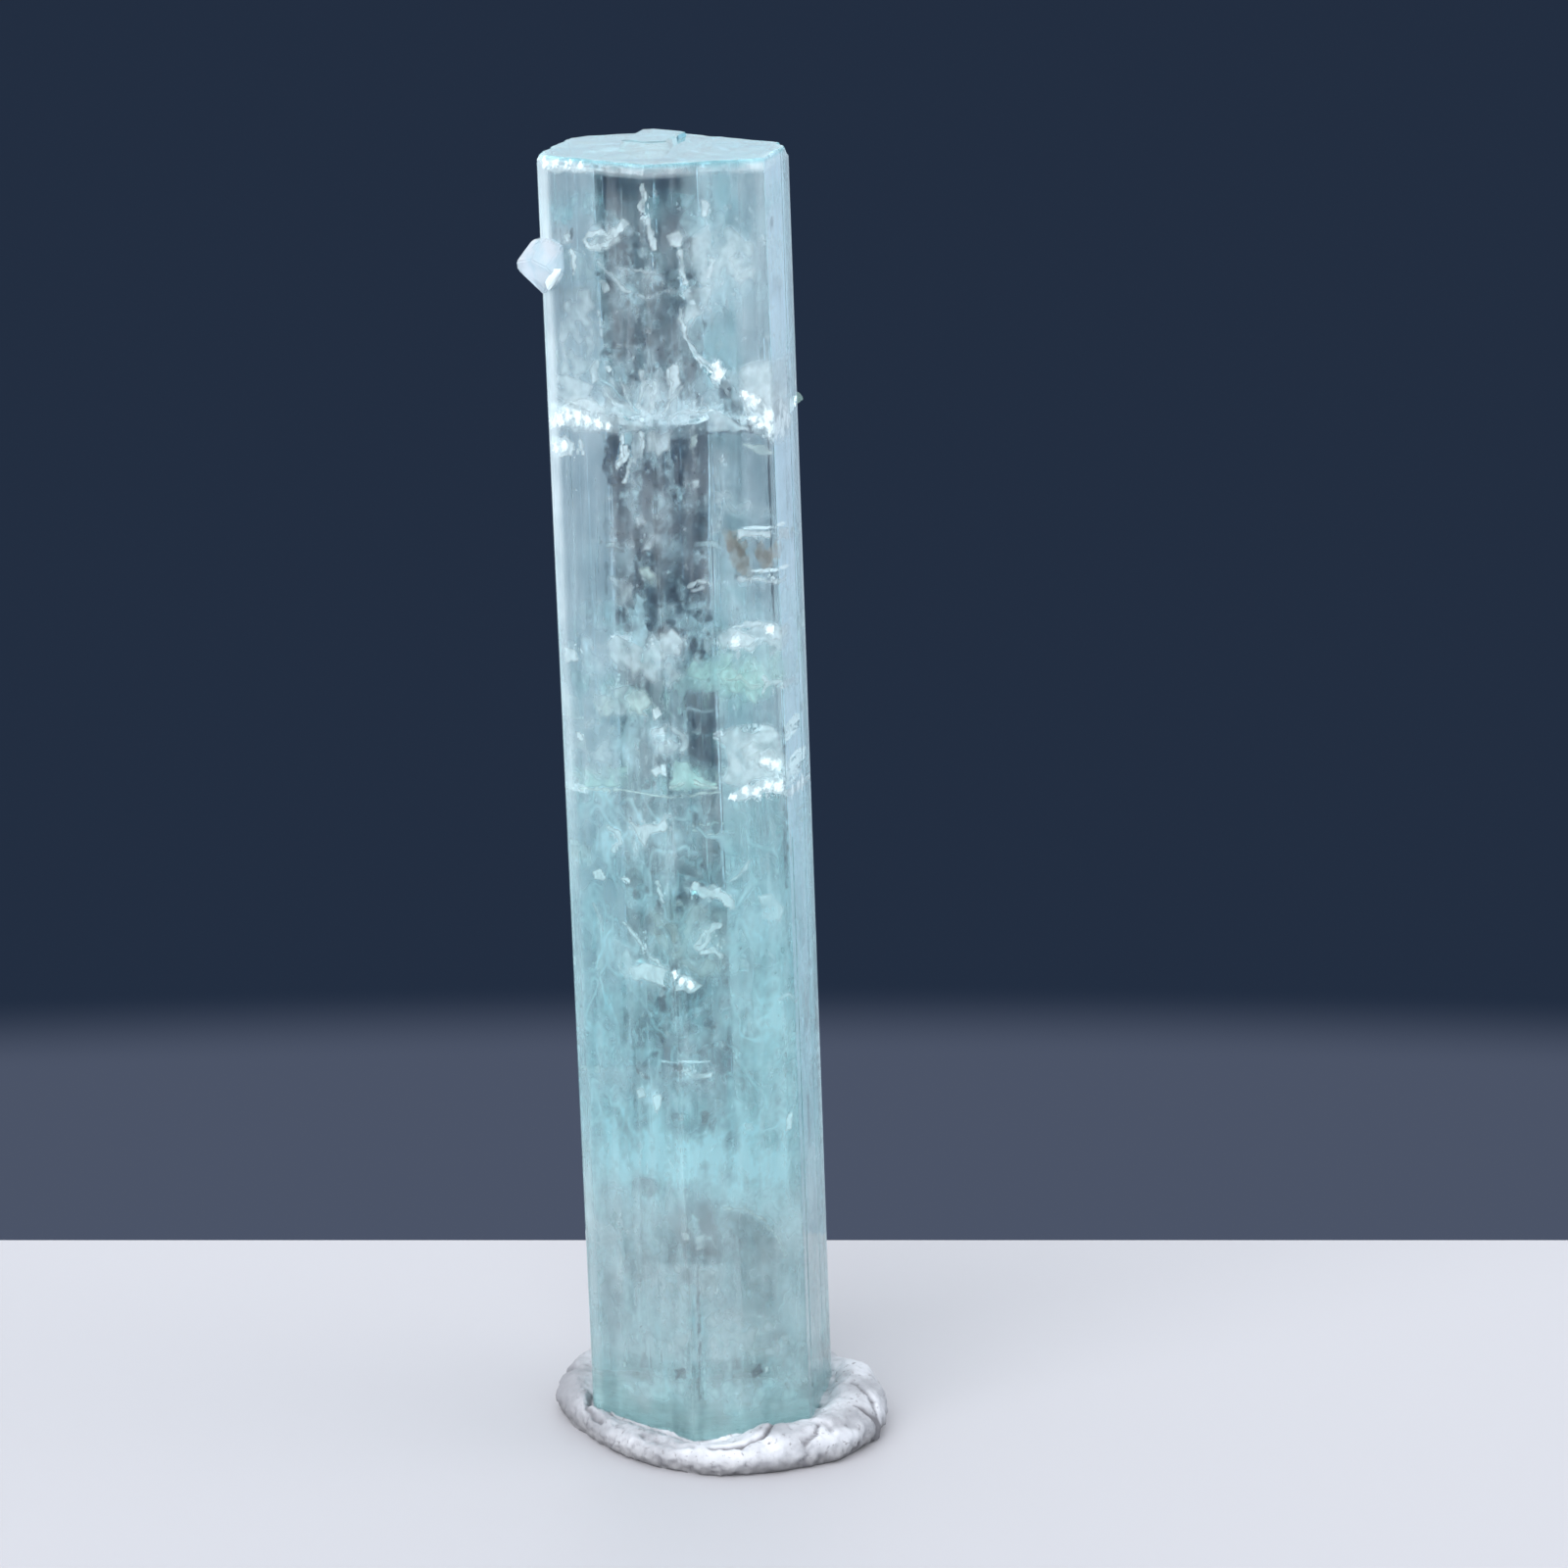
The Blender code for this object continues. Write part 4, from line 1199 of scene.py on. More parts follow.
# %% Where the veils show
VEIL_ROWS = (  # depth, density, tint, soft edge, line width or 0; then x, height, x, height ...
    (0.12, 0.95, 0, 0.25, 0, -541, 6085, -409, 6100, -288, 6096, -239, 6078, -290, 6051, -412, 6028,
     -539, 6022),
    (0.2, 0.45, 0, 0.25, 0, -288, 6096, -110, 6079, 69, 6087, -111, 6048, -286, 6056),
    (0.3, 0.55, 1, 0.1, 0, -282, 6025, -199, 6027, -203, 5936, -273, 5917),
    (0.35, 0.3, 1, 0.12, 0, -185, 6033, -112, 6029, -116, 5926, -181, 5911),
    (0.3, 0.52, 1, 0.1, 0, -35, 6045, 62, 6038, 72, 5952, 92, 5874, 76, 5816, 38, 5765, 14, 5821, 4,
     5903, -30, 5955),
    (0.35, 0.35, 1, 0.12, 0, -14, 5796, 47, 5764, 62, 5682, 52, 5547, -7, 5534, -15, 5670),
    (0.2, 0.85, 0, 0.06, 0.21, -90, 6000, -84, 5946, -100, 5887),
    (0.2, 0.65, 0, 0.07, 0.23, -70, 5837, -55, 5773, -49, 5705),
    (0.15, 0.8, 0, 0.06, 0.19, -370, 5723, -341, 5753, -285, 5762, -244, 5743, -264, 5710, -320, 5686,
     -362, 5696, -370, 5723),
    (0.15, 0.7, 0, 0.1, 0.28, -262, 5741, -215, 5773, -176, 5817),
    (0.25, 0.45, 0, 0.2, 0, -366, 5696, -298, 5765, -205, 5792, -198, 5738, -265, 5687, -340, 5671),
    (0.2, 0.8, 0, 0.1, 0, 16, 5767, 65, 5772, 86, 5739, 67, 5700, 23, 5708),
    (0.3, 0.45, 0.25, 0.35, 0, 93, 5918, 168, 5899, 192, 5811, 171, 5745, 91, 5738, 71, 5808),
    (0.15, 0.8, 0, 0.08, 0.28, 186, 5897, 193, 5847),
    (0.15, 0.8, 0, 0.08, 0.23, 220, 5624, 191, 5563),
    (0.35, 0.55, 0, 0.6, 0, 73, 5753, 173, 5790, 302, 5771, 412, 5689, 416, 5567, 337, 5505, 290, 5554,
     215, 5470, 146, 5539, 86, 5626),
    (0.2, 0.4, 0, 0.3, 0, 293, 5636, 365, 5657, 418, 5607, 397, 5527, 324, 5524),
    (0.25, 0.55, 0, 0.1, 0.15, -309, 5624, -278, 5586, -247, 5566, -212, 5519, -157, 5498),
    (0.25, 0.3, 0, 0.14, 0.14, -130, 5487, -71, 5481, -8, 5498, 45, 5498),
    (0.3, 0.4, 0, 0.08, 0.1, -232, 5599, -31, 5599),
    (0.3, 0.26, 0, 0.35, 0, -150, 5571, -75, 5621, -14, 5580, 1, 5515, -80, 5495, -143, 5517),
    (0.2, 0.5, 0, 0.07, 0.14, -324, 5390, -313, 5327, -306, 5273),
    (0.3, 0.35, 0, 0.08, 0.1, -312, 5236, -219, 5246, -136, 5246),
    (0.3, 0.26, 1, 0.3, 0, -302, 5474, -113, 5466, -116, 5284, -302, 5260),
    (0.3, 0.28, 1, 0.22, 0, -81, 5472, 45, 5475, 50, 5280, 33, 5186, -30, 5164, -84, 5269),
    (0.1, 0.95, 0, 0.06, 0.19, -284, 5125, -280, 5111),
    (0.15, 0.8, 0, 0.06, 0.23, 71, 5681, 77, 5608, 87, 5535),
    (0.25, 0.6, 0, 0.25, 0, 76, 5491, 118, 5523, 162, 5502, 216, 5515, 187, 5445, 194, 5399, 139, 5377,
     101, 5325, 68, 5383, 88, 5435),
    (0.15, 0.8, 0, 0.08, 0.16, 60, 5411, 66, 5333, 98, 5244, 149, 5171, 201, 5130),
    (0.25, 0.45, 0.25, 0.15, 0, 84, 5345, 158, 5393, 170, 5237, 141, 5194, 99, 5262),
    (0.3, 0.5, 1, 0.12, 0, 65, 5201, 131, 5168, 124, 5091, 87, 5063, 62, 5119),
    (0.1, 1, 0, 0.08, 0, 175, 5146, 206, 5134, 225, 5169, 238, 5131, 259, 5111, 240, 5085, 230, 5054,
     208, 5074, 182, 5090, 196, 5112),
    (0.15, 1, 0, 0.08, 0, 193, 5144, 229, 5141, 245, 5103, 217, 5069, 196, 5094),
    (0.15, 0.65, 1, 0.14, 0, 231, 5068, 271, 5069, 283, 5027, 277, 4972, 241, 4976, 215, 5005),
    (0.15, 0.65, 1, 0.12, 0, 277, 4972, 313, 4969, 325, 4931, 319, 4895, 279, 4908),
    (0.15, 0.6, 1, 0.1, 0, 345, 4875, 372, 4863, 370, 4826, 335, 4839),
    (0.12, 0.6, 1, 0.07, 0.1, 244, 4948, 282, 4880, 335, 4839, 370, 4822),
    (0.16, 0.55, 0, 0.16, 0, 301, 4897, 337, 4898, 345, 4865, 317, 4859),
    (0.16, 0.5, 0, 0.2, 0.28, 272, 5101, 306, 5043, 335, 4976, 365, 4919),
    (0.1, 0.8, 0, 0.8, 0, 299, 5098, 418, 5143, 534, 5094, 538, 4822, 426, 4858, 331, 4967),
    (0.25, 0.35, 0, 0.5, 0, -330, 5051, 30, 5104, 39, 4884, -324, 4849),
    (0.25, 0.65, 0.25, 0.1, 0.14, -328, 5088, -256, 5032, -202, 4983, -149, 4943),
    (0.2, 0.65, 0, 0.12, 0, -13, 5153, 41, 5158, 42, 5066, 9, 5024, -16, 5072),
    (0.15, 0.7, 0, 0.2, 0, -372, 5138, -334, 5170, -328, 5088, -367, 5047),
    (0.16, 0.9, 0, 0.5, 0, -579, 4931, -482, 4988, -379, 4981, -307, 4934, -281, 4882, -348, 4837, -443,
     4808, -528, 4816, -584, 4828),
    (0.07, 1, 0, 0.25, 0, -562, 4895, -484, 4951, -438, 4938, -382, 4916, -404, 4858, -471, 4832, -536,
     4843),
    (0.12, 0.7, 0, 0.25, 0, -345, 4921, -206, 4900, -113, 4902, -139, 4853, -265, 4829, -348, 4837),
    (0.12, 0.55, 0, 0.3, 0, -545, 5064, -431, 5095, -368, 5037, -389, 4971, -507, 4957, -558, 4988),
    (0.22, 0.7, 0, 0.7, 0, 308, 5079, 390, 5118, 524, 5074, 534, 4844, 548, 4711, 498, 4739, 423, 4789,
     362, 4836, 321, 4950),
    (0.07, 0.95, 0, 0.4, 0, 319, 5014, 378, 5018, 412, 4969, 397, 4920, 339, 4939),
    (0.06, 1, 0, 0.2, 0, 364, 4891, 426, 4863, 468, 4880, 483, 4941, 536, 4907, 546, 4787, 525, 4730,
     481, 4750, 451, 4805, 407, 4828, 367, 4854),
    (0.12, 0.7, 1, 0.06, 0.09, 163, 4827, 266, 4822, 361, 4818),
    (0.25, 0.55, 0, 0.35, 0, 159, 4965, 256, 4901, 352, 4819, 172, 4835),
    (0.1, 0.98, 0, 0.12, 0, -568, 4765, -505, 4791, -464, 4759, -476, 4702, -553, 4679, -575, 4708),
    (0.15, 0.75, 0, 0.07, 0.16, -434, 4799, -424, 4718),
    (0.12, 0.95, 0, 0.06, 0.19, -236, 4837, -234, 4787, -246, 4730, -262, 4677),
    (0.12, 0.95, 0, 0.05, 0, -239, 4781, -206, 4781, -199, 4740, -224, 4705, -248, 4679, -267, 4658,
     -261, 4691, -241, 4735),
    (0.12, 0.98, 0, 0.05, 0.19, -195, 4718, -211, 4661, -228, 4603),
    (0.18, 0.62, 0, 0.12, 0, -180, 4848, -134, 4849, -128, 4786, -148, 4733, -173, 4688, -191, 4709,
     -188, 4774),
    (0.14, 0.75, 0, 0.06, 0.14, -139, 4844, -137, 4785, -149, 4714),
    (0.22, 0.5, 0.25, 0.14, 0, -255, 4848, -180, 4857, -183, 4774, -239, 4786),
    (0.25, 0.55, 0, 0.3, 0, -115, 4865, -7, 4852, -15, 4770, -65, 4747, -119, 4764),
    (0.25, 0.75, 1, 0.1, 0, -317, 4795, -260, 4834, -253, 4766, -266, 4700, -264, 4626, -252, 4587,
     -308, 4575, -329, 4646, -320, 4730),
    (0.25, 0.7, 1, 0.1, 0, -4, 4815, 68, 4817, 71, 4790, 26, 4771, 32, 4711, 44, 4664, 28, 4601, 6,
     4612, 5, 4695, -11, 4761),
    (0.25, 0.7, 1, 0.1, 0, 108, 4814, 153, 4819, 150, 4718, 155, 4626, 142, 4535, 112, 4552, 119, 4638,
     119, 4730),
    (0.35, 0.3, 1, 0.4, 0, 16, 4758, 115, 4767, 117, 4565, 36, 4582),
    (0.28, 0.6, 1, 0.22, 0, -140, 4697, -107, 4719, -97, 4629, -106, 4527, -139, 4504, -149, 4604),
    (0.28, 0.65, 1, 0.18, 0, 10, 4483, 50, 4489, 57, 4424, 29, 4390, -17, 4366, -30, 4395, 3, 4429),
    (0.25, 0.6, 1, 0.12, 0, -65, 4642, -33, 4644, -35, 4607, -62, 4605),
    (0.25, 0.6, 1, 0.12, 0, -18, 4578, 9, 4580, 12, 4538, -15, 4536),
    (0.25, 0.45, 1, 0.15, 0, -261, 4479, -214, 4495, -212, 4440, -254, 4425),
    (0.25, 0.5, 1, 0.15, 0, 72, 4348, 118, 4367, 116, 4326, 78, 4265, 55, 4249),
    (0.28, 0.4, 0.25, 0.35, 0, -220, 4577, -155, 4576, -151, 4447, -199, 4404, -233, 4474),
    (0.28, 0.35, 0.25, 0.35, 0, -90, 4584, -20, 4532, -24, 4441, -88, 4401, -112, 4489),
    (0.22, 0.5, 0, 0.2, 0, -188, 4447, -146, 4467, -138, 4417, -176, 4398),
    (0.22, 0.55, 0, 0.15, 0, 82, 4610, 114, 4616, 117, 4583, 90, 4568),
    (0.22, 0.55, 0.75, 0.12, 0, 82, 4821, 113, 4822, 111, 4768, 79, 4761),
    (0.4, 0.26, 1, 1.1, 0, -316, 4731, -220, 4568, -106, 4637, 7, 4520, 130, 4674, 116, 4326, 1, 4369,
     -138, 4320, -313, 4352),
    (0.4, 0.32, 1, 0.6, 0, -320, 4407, -134, 4413, 71, 4432, 94, 4222, -10, 4107, -191, 4156, -311,
     4093),
    (0.25, 0.5, 0.75, 0.12, 0, 319, 4767, 422, 4743, 461, 4698, 402, 4704),
    (0.2, 0.6, 0, 0.1, 0.19, 217, 4703, 229, 4674),
    (0.25, 0.45, 0, 0.3, 0, 180, 4559, 224, 4532, 209, 4372, 163, 4353),
    (0.22, 0.55, 0, 0.22, 0, -142, 4338, -117, 4374, -84, 4382, -86, 4332, -120, 4300, -158, 4290),
    (0.28, 0.3, 0.25, 0.45, 0, -81, 4363, -1, 4337, 43, 4287, -4, 4245, -67, 4261),
    (0.28, 0.32, 0.25, 0.6, 0, -291, 4225, -232, 4289, -158, 4271, -151, 4217, -238, 4149, -296, 4095),
    (0.15, 0.9, 0, 0.08, 0, 281, 4365, 362, 4348, 434, 4341, 433, 4309, 352, 4326, 284, 4328),
    (0.15, 0.85, 0, 0.07, 0, 466, 4351, 519, 4298, 518, 4258, 469, 4302),
    (0.15, 0.85, 0, 0.08, 0.17, 281, 4134, 376, 4115, 489, 4089),
    (0.2, 0.65, 0, 0.12, 0.17, 50, 4120, 87, 4144, 127, 4131),
    (0.2, 0.5, 0, 0.12, 0.15, 112, 4104, 71, 4094),
    (0.2, 0.6, 0.75, 0.22, 0, -180, 4204, -133, 4215, -93, 4179, -85, 4138, -137, 4126, -168, 4159),
    (0.3, 0.65, 1, 0.12, 0, 81, 4232, 135, 4231, 141, 4148, 124, 4048, 33, 4038, 54, 4110),
    (0.3, 0.6, 1, 0.1, 0, 18, 4012, 149, 3999, 151, 3943, 84, 3950),
    (0.3, 0.55, 1, 0.12, 0, -155, 4124, -100, 4122, -100, 3993, -118, 3907, -154, 3929),
    (0.3, 0.35, 1, 0.25, 0, -65, 4297, 24, 4270, 6, 4041, -58, 4038),
    (0.25, 0.6, 0.25, 0.12, 0, -190, 4082, -167, 4057, -151, 3883, -168, 3816, -252, 3822, -229, 3918),
    (0.2, 0.4, 0, 0.25, 0, -322, 4147, -229, 4141, -205, 4043, -291, 4002),
    (0.25, 0.5, 0, 0.5, 0, -384, 3802, -297, 3871, -195, 3849, -118, 3907, -11, 3839, -41, 3767, 1,
     3698, -92, 3641, -173, 3694, -260, 3634, -303, 3721),
    (0.2, 0.7, 0, 0.2, 0, -109, 3899, -40, 3925, 12, 3864, -4, 3801, -76, 3799),
    (0.2, 0.7, 0, 0.3, 0, 171, 3866, 232, 3907, 299, 3881, 382, 3919, 499, 3877, 506, 3796, 468, 3777,
     388, 3825, 318, 3786, 242, 3822, 186, 3790),
    (0.15, 0.9, 0, 0.1, 0, 215, 3839, 279, 3846, 296, 3807, 241, 3794),
    (0.25, 0.5, 0.5, 0.3, 0, 11, 3725, 59, 3776, 121, 3751, 169, 3801, 240, 3775, 211, 3713, 156, 3710,
     118, 3658, 28, 3686),
    (0.2, 0.7, 0.5, 0.35, 0, 155, 3691, 211, 3723, 265, 3698, 312, 3749, 374, 3706, 399, 3638, 361,
     3595, 332, 3532, 288, 3584, 234, 3599, 189, 3632),
    (0.15, 0.5, 0.75, 0.12, 0.19, 209, 3658, 273, 3669, 307, 3619, 353, 3614),
    (0.15, 0.85, 0, 0.1, 0.16, 373, 3659, 399, 3624, 370, 3585),
    (0.15, 0.85, 0, 0.1, 0.21, 390, 3625, 454, 3622, 525, 3565),
    (0.15, 0.8, 0, 0.15, 0, -566, 3775, -499, 3775, -492, 3729, -550, 3702),
    (0.25, 0.45, 0.75, 0.25, 0, -429, 3537, -332, 3585, -303, 3510, -400, 3447),
    (0.2, 0.7, 0.75, 0.3, 0, -272, 3576, -213, 3632, -158, 3622, -151, 3567, -189, 3533, -172, 3498,
     -237, 3506),
    (0.1, 1, 0, 0.06, 0, -147, 3539, -114, 3554, -101, 3523, -130, 3495),
    (0.3, 0.48, 1, 0.12, 0, 16, 3617, 157, 3607, 149, 3412, 71, 3401, 25, 3486),
    (0.25, 0.35, 0.25, 0.15, 0.14, 22, 3547, 85, 3521, 149, 3524),
    (0.15, 0.95, 0, 0.06, 0.19, -499, 3361, -490, 3343),
    (0.2, 0.5, 0, 0.25, 0.28, -140, 3382, -138, 3429, -80, 3469),
    (0.2, 0.5, 0, 0.25, 0.28, -45, 3451, -1, 3418, -8, 3354),
    (0.25, 0.35, 0, 0.35, 0, -130, 3393, -64, 3425, -21, 3374, -59, 3322, -123, 3328),
    (0.3, 0.6, 1, 0.12, 0, 25, 3388, 154, 3411, 152, 3252, 71, 3289, 18, 3323),
    (0.2, 0.6, 0.5, 0.15, 0, -51, 3307, 12, 3286, 55, 3216, 140, 3169, 139, 3141, -74, 3164, -62, 3238),
    (0.15, 0.75, 0.75, 0.07, 0.14, -74, 3174, 27, 3191, 139, 3150),
    (0.15, 0.8, 0, 0.12, 0, -164, 3251, -126, 3272, -108, 3246, -137, 3213),
    (0.25, 0.4, 0.5, 0.25, 0, -554, 3181, -276, 3246, -257, 3151, -548, 3101),
    (0.15, 0.55, 0.75, 0.08, 0.11, -558, 3095, -281, 3128, 152, 3130),
    (0.16, 0.65, 0, 0.55, 0, 171, 3390, 246, 3429, 326, 3383, 392, 3423, 445, 3370, 458, 3247, 428,
     3156, 318, 3177, 235, 3140, 163, 3176, 203, 3275),
    (0.2, 0.45, 0.25, 0.3, 0, 179, 3362, 262, 3381, 296, 3321, 249, 3270, 186, 3295),
    (0.12, 0.95, 0, 0.15, 0, 346, 3297, 406, 3309, 435, 3240, 392, 3197, 348, 3231),
    (0.08, 1, 0, 0.1, 0, 197, 3106, 234, 3130, 281, 3153, 317, 3135, 364, 3168, 419, 3166, 450, 3130,
     443, 3083, 399, 3112, 352, 3098, 297, 3095, 241, 3073),
    (0.15, 1, 0, 0.1, 0, 215, 3104, 289, 3138, 372, 3153, 436, 3136, 435, 3099, 362, 3107, 279, 3097),
    (0.08, 1, 0, 0.1, 0.3, 466, 3080, 507, 3068, 558, 3054),
    (0.25, 0.45, 1, 0.07, 0.1, 140, 3281, 239, 3266),
    (0.2, 0.6, 1, 0.07, 0.12, 460, 3406, 456, 3040, 450, 2638),
    (0.12, 0.8, 0, 0.16, 0, -283, 2986, -232, 2967, -193, 2987, -147, 2986, -98, 3028, -100, 2976, -177,
     2934, -208, 2872, -243, 2932),
    (0.15, 0.75, 0, 0.1, 0.19, -384, 2940, -337, 2924, -330, 2869, -361, 2825),
    (0.1, 1, 0, 0.07, 0, -470, 2710, -432, 2722, -400, 2690, -420, 2667, -462, 2673),
    (0.15, 0.85, 0, 0.1, 0.19, -328, 2698, -300, 2694),
    (0.15, 0.8, 0, 0.06, 0.14, -158, 2715, -146, 2666, -129, 2617),
    (0.08, 1, 0, 0.1, 0.37, 30, 2687, 65, 2649, 106, 2645, 151, 2630, 190, 2564),
    (0.15, 0.8, 0, 0.12, 0.23, 79, 2648, 107, 2682),
    (0.15, 0.75, 0, 0.08, 0.16, -319, 2476, -255, 2407, -193, 2334, -138, 2297),
    (0.12, 0.9, 0, 0.1, 0.28, 32, 2388, 79, 2420, 67, 2465, 137, 2489),
    (0.12, 0.7, 0, 0.1, 0.21, 72, 2469, 43, 2444, 23, 2408),
    (0.12, 0.9, 0, 0.1, 0.25, 36, 2364, 96, 2380, 131, 2338),
    (0.2, 0.5, 0, 0.2, 0, -379, 2403, -314, 2372, -271, 2261, -321, 2204, -366, 2267),
    (0.06, 1, 0, 0.14, 0, -318, 2271, -222, 2300, -82, 2297, -19, 2261, 34, 2202, 1, 2178, -95, 2201,
     -216, 2220, -297, 2218),
    (0.25, 0.28, 0.75, 0.5, 0, -192, 2562, -22, 2645, 175, 2528, 147, 2270, 35, 2236, -81, 2321, -180,
     2398),
    (0.2, 0.55, 0, 0.12, 0.16, 190, 2692, 233, 2725, 276, 2776),
    (0.2, 0.65, 0, 0.15, 0, 311, 2607, 376, 2613, 433, 2545, 412, 2476, 339, 2494),
    (0.2, 0.55, 0, 0.12, 0.16, 394, 2097, 441, 2120, 472, 2071),
    (0.2, 0.5, 0, 0.12, 0.19, -468, 2548, -442, 2486, -435, 2430),
    (0.25, 0.42, 0, 0.7, 0, -508, 5472, -346, 5515, -340, 5242, -356, 5085, -517, 5067),
    (0.2, 0.14, 1, 0.4, 0, 480, 4741, 547, 4684, 540, 3997, 474, 4061),
    (0.12, 0.95, 0, 0.2, 0, 225, 3852, 262, 3880, 307, 3862, 352, 3838, 287, 3803),
    (0.12, 0.85, 0, 0.2, 0, 381, 3882, 437, 3904, 494, 3868, 497, 3819, 425, 3831),
    (0.15, 0.8, 0, 0.12, 0.16, 245, 3905, 318, 3916, 373, 3906),
    (0.2, 0.35, 0, 0.5, 0, -431, 3588, -260, 3634, -150, 3576, -172, 3498, -408, 3470),
    (0.15, 0.85, 0, 0.3, 0, 260, 3325, 325, 3355, 387, 3311, 412, 3233, 329, 3214, 276, 3257),
    (0.15, 0.6, 0, 0.1, 0.14, -9, 5148, 2, 5079, -5, 5007),
    (0.18, 0.55, 0, 0.12, 0.19, -127, 5124, -125, 5055, -147, 4980),
    (0.18, 0.6, 0, 0.1, 0.16, -235, 5089, -201, 5020, -185, 4957),
    (0.15, 0.6, 0, 0.1, 0.14, -312, 5035, -268, 4975, -223, 4925),
    (0.2, 0.5, 0, 0.12, 0.19, -65, 5085, -72, 5013, -93, 4950),
    (0.18, 0.6, 0, 0.1, 0.14, 46, 5048, -2, 4988, -40, 4928),
    (0.15, 0.55, 0, 0.12, 0.16, 162, 4932, 86, 4935, -5, 4916),
    (0.2, 0.45, 0.25, 0.2, 0.23, 107, 5006, 51, 4956, 22, 4895),
    (0.12, 0.9, 0, 0.08, 0.21, -433, 5658, -426, 5608, -429, 5558),
    (0.1, 0.8, 0, 0.1, 0.25, -458, 5728, -455, 5706),
    (0.25, 0.4, 0, 0.4, 0, -543, 5734, -456, 5769, -431, 5708, -489, 5675),
    (0.15, 0.7, 0, 0.1, 0, -308, 5537, -280, 5549, -264, 5496, -292, 5475),
    (0.25, 0.3, 0, 0.6, 0, -564, 3388, -437, 3455, -344, 3423, -336, 3170, -558, 3104),
    (0.06, 1, 1, 0.04, 0, -167, 312, -114, 330, -116, 281, -164, 263),
    (0.06, 1, 1, 0.04, 0, 193, 297, 245, 310, 248, 270, 214, 250, 196, 263),
    (0.05, 0.8, 0, 0.04, 0, 254, 299, 277, 300, 276, 271, 257, 269),
    (0.2, 0.45, 0, 0.35, 0, -167, 877, -118, 918, -93, 857, -124, 791, -161, 801),
    (0.2, 0.45, 0.25, 0.35, 0, -64, 875, -7, 906, 47, 859, 25, 794, -40, 784),
    (0.22, 0.3, 1, 0.3, 0, -142, 816, -75, 837, -68, 768, -126, 742),
    (0.22, 0.3, 1, 0.3, 0, -11, 799, 44, 801, 51, 732, -6, 711),
    (0.28, 0.09, 0, 0.6, 0, -292, 5493, -135, 5491, 63, 5501, 50, 5157, -147, 5190, -307, 5136),
    (0.2, 0.34, 0.25, 0.35, 0, 113, 1141, 214, 1113, 304, 1038, 375, 941, 427, 817, 500, 761, 518, 990,
     337, 1179, 152, 1204),
    (0.25, 0.26, 0, 0.5, 0, 187, 4761, 258, 4726, 243, 4553, 438, 4442, 363, 4385, 221, 4463, 190,
     4604),
    (0.15, 0.8, 0, 0.1, 0, -73, 1810, 8, 1781, 68, 1778, 62, 1750, -29, 1762),
    (0.12, 0.95, 0, 0.08, 0, -301, 1670, -267, 1692, -254, 1646, -288, 1629),
    (0.12, 0.95, 0, 0.08, 0, -216, 1659, -177, 1682, -185, 1604, -215, 1573),
    (0.12, 0.9, 0, 0.08, 0, 415, 1527, 434, 1534, 431, 1462, 403, 1456),
    (0.2, 0.6, 0, 0.12, 0, 206, 1511, 248, 1520, 251, 1481, 214, 1481),
    (0.25, 0.4, 1, 0.35, 0, -335, 1198, -285, 1248, -228, 1241, -192, 1201, -251, 1159, -308, 1155),
    (0.22, 0.62, 1, 0.2, 0, -30, 1156, 21, 1154, 35, 1045, 65, 973, 39, 909, -4, 983, -30, 1044),
    (0.25, 0.45, 1, 0.55, 0, -160, 1064, -119, 1131, -64, 1107, -58, 1038, -32, 977, -99, 943, -134,
     1002),
    (0.25, 0.36, 1, 0.7, 0, -99, 943, -24, 956, 76, 914, 55, 849, -18, 878, -66, 836),
    (0.2, 0.6, 0, 0.12, 0, -110, 1008, -77, 1012, -74, 978, -107, 975),
    (0.2, 0.6, 0, 0.12, 0, -46, 988, -4, 992, -7, 920, -39, 920),
    (0.3, 0.24, 1, 0.4, 0, 120, 1082, 203, 1071, 284, 1002, 337, 912, 376, 829, 355, 651, 247, 618, 147,
     817),
    (0.2, 0.45, 0.75, 0.1, 0.14, 93, 1115, 204, 1090, 289, 1016, 342, 926, 381, 838),
    (0.2, 0.5, 0, 0.25, 0, -38, 832, 49, 810, 49, 694, -26, 675),
    (0.25, 0.3, 0, 0.45, 0, -216, 622, -100, 680, -80, 468, -198, 372),
    (0.25, 0.3, 0, 0.45, 0, 0, 627, 315, 559, 344, 335, 0, 369),
    (0.2, 0.4, 0, 0.1, 0.16, -409, 1034, -412, 853, -421, 640),
    (0.15, 0.5, 1, 0.06, 0.11, -38, 842, -44, 561, -54, 181),
    (0.15, 0.45, 0.25, 0.08, 0.16, -26, 412, -31, 177),
    (0.2, 0.5, 0.25, 0.7, 0, -427, 165, -338, 228, -211, 281, -126, 263, -100, 212, -207, 154, -361,
     123),
    (0.2, 0.5, 0.25, 0.6, 0, -24, 226, 61, 262, 154, 269, 199, 213, 141, 162, 29, 159),
    (0.25, 0.35, 0.25, 0.7, 0, -6, 213, 255, 215, 425, 249, 411, 104, 156, 72, -2, 85),
    (0.25, 0.35, 0, 0.5, 0, -38, 832, 27, 843, 61, 751, 37, 617, 81, 533, -5, 497, -26, 656),
    (0.28, 0.28, 0, 0.6, 0, -171, 789, -75, 828, -74, 633, -153, 540, -216, 632),
    (0.3, 0.24, 1, 0.6, 0, 68, 681, 186, 626, 327, 646, 360, 533, 182, 519, 73, 574),
    (0.28, 0.26, 1, 0.5, 0, -489, 751, -413, 730, -393, 509, -467, 362, -519, 507),
    (0.28, 0.26, 1, 0.5, 0, -378, 856, -263, 864, -219, 777, -337, 700, -392, 755),
    (0.2, 0.45, 0.25, 0.2, 0, 247, 236, 322, 235, 310, 187, 254, 186),
)


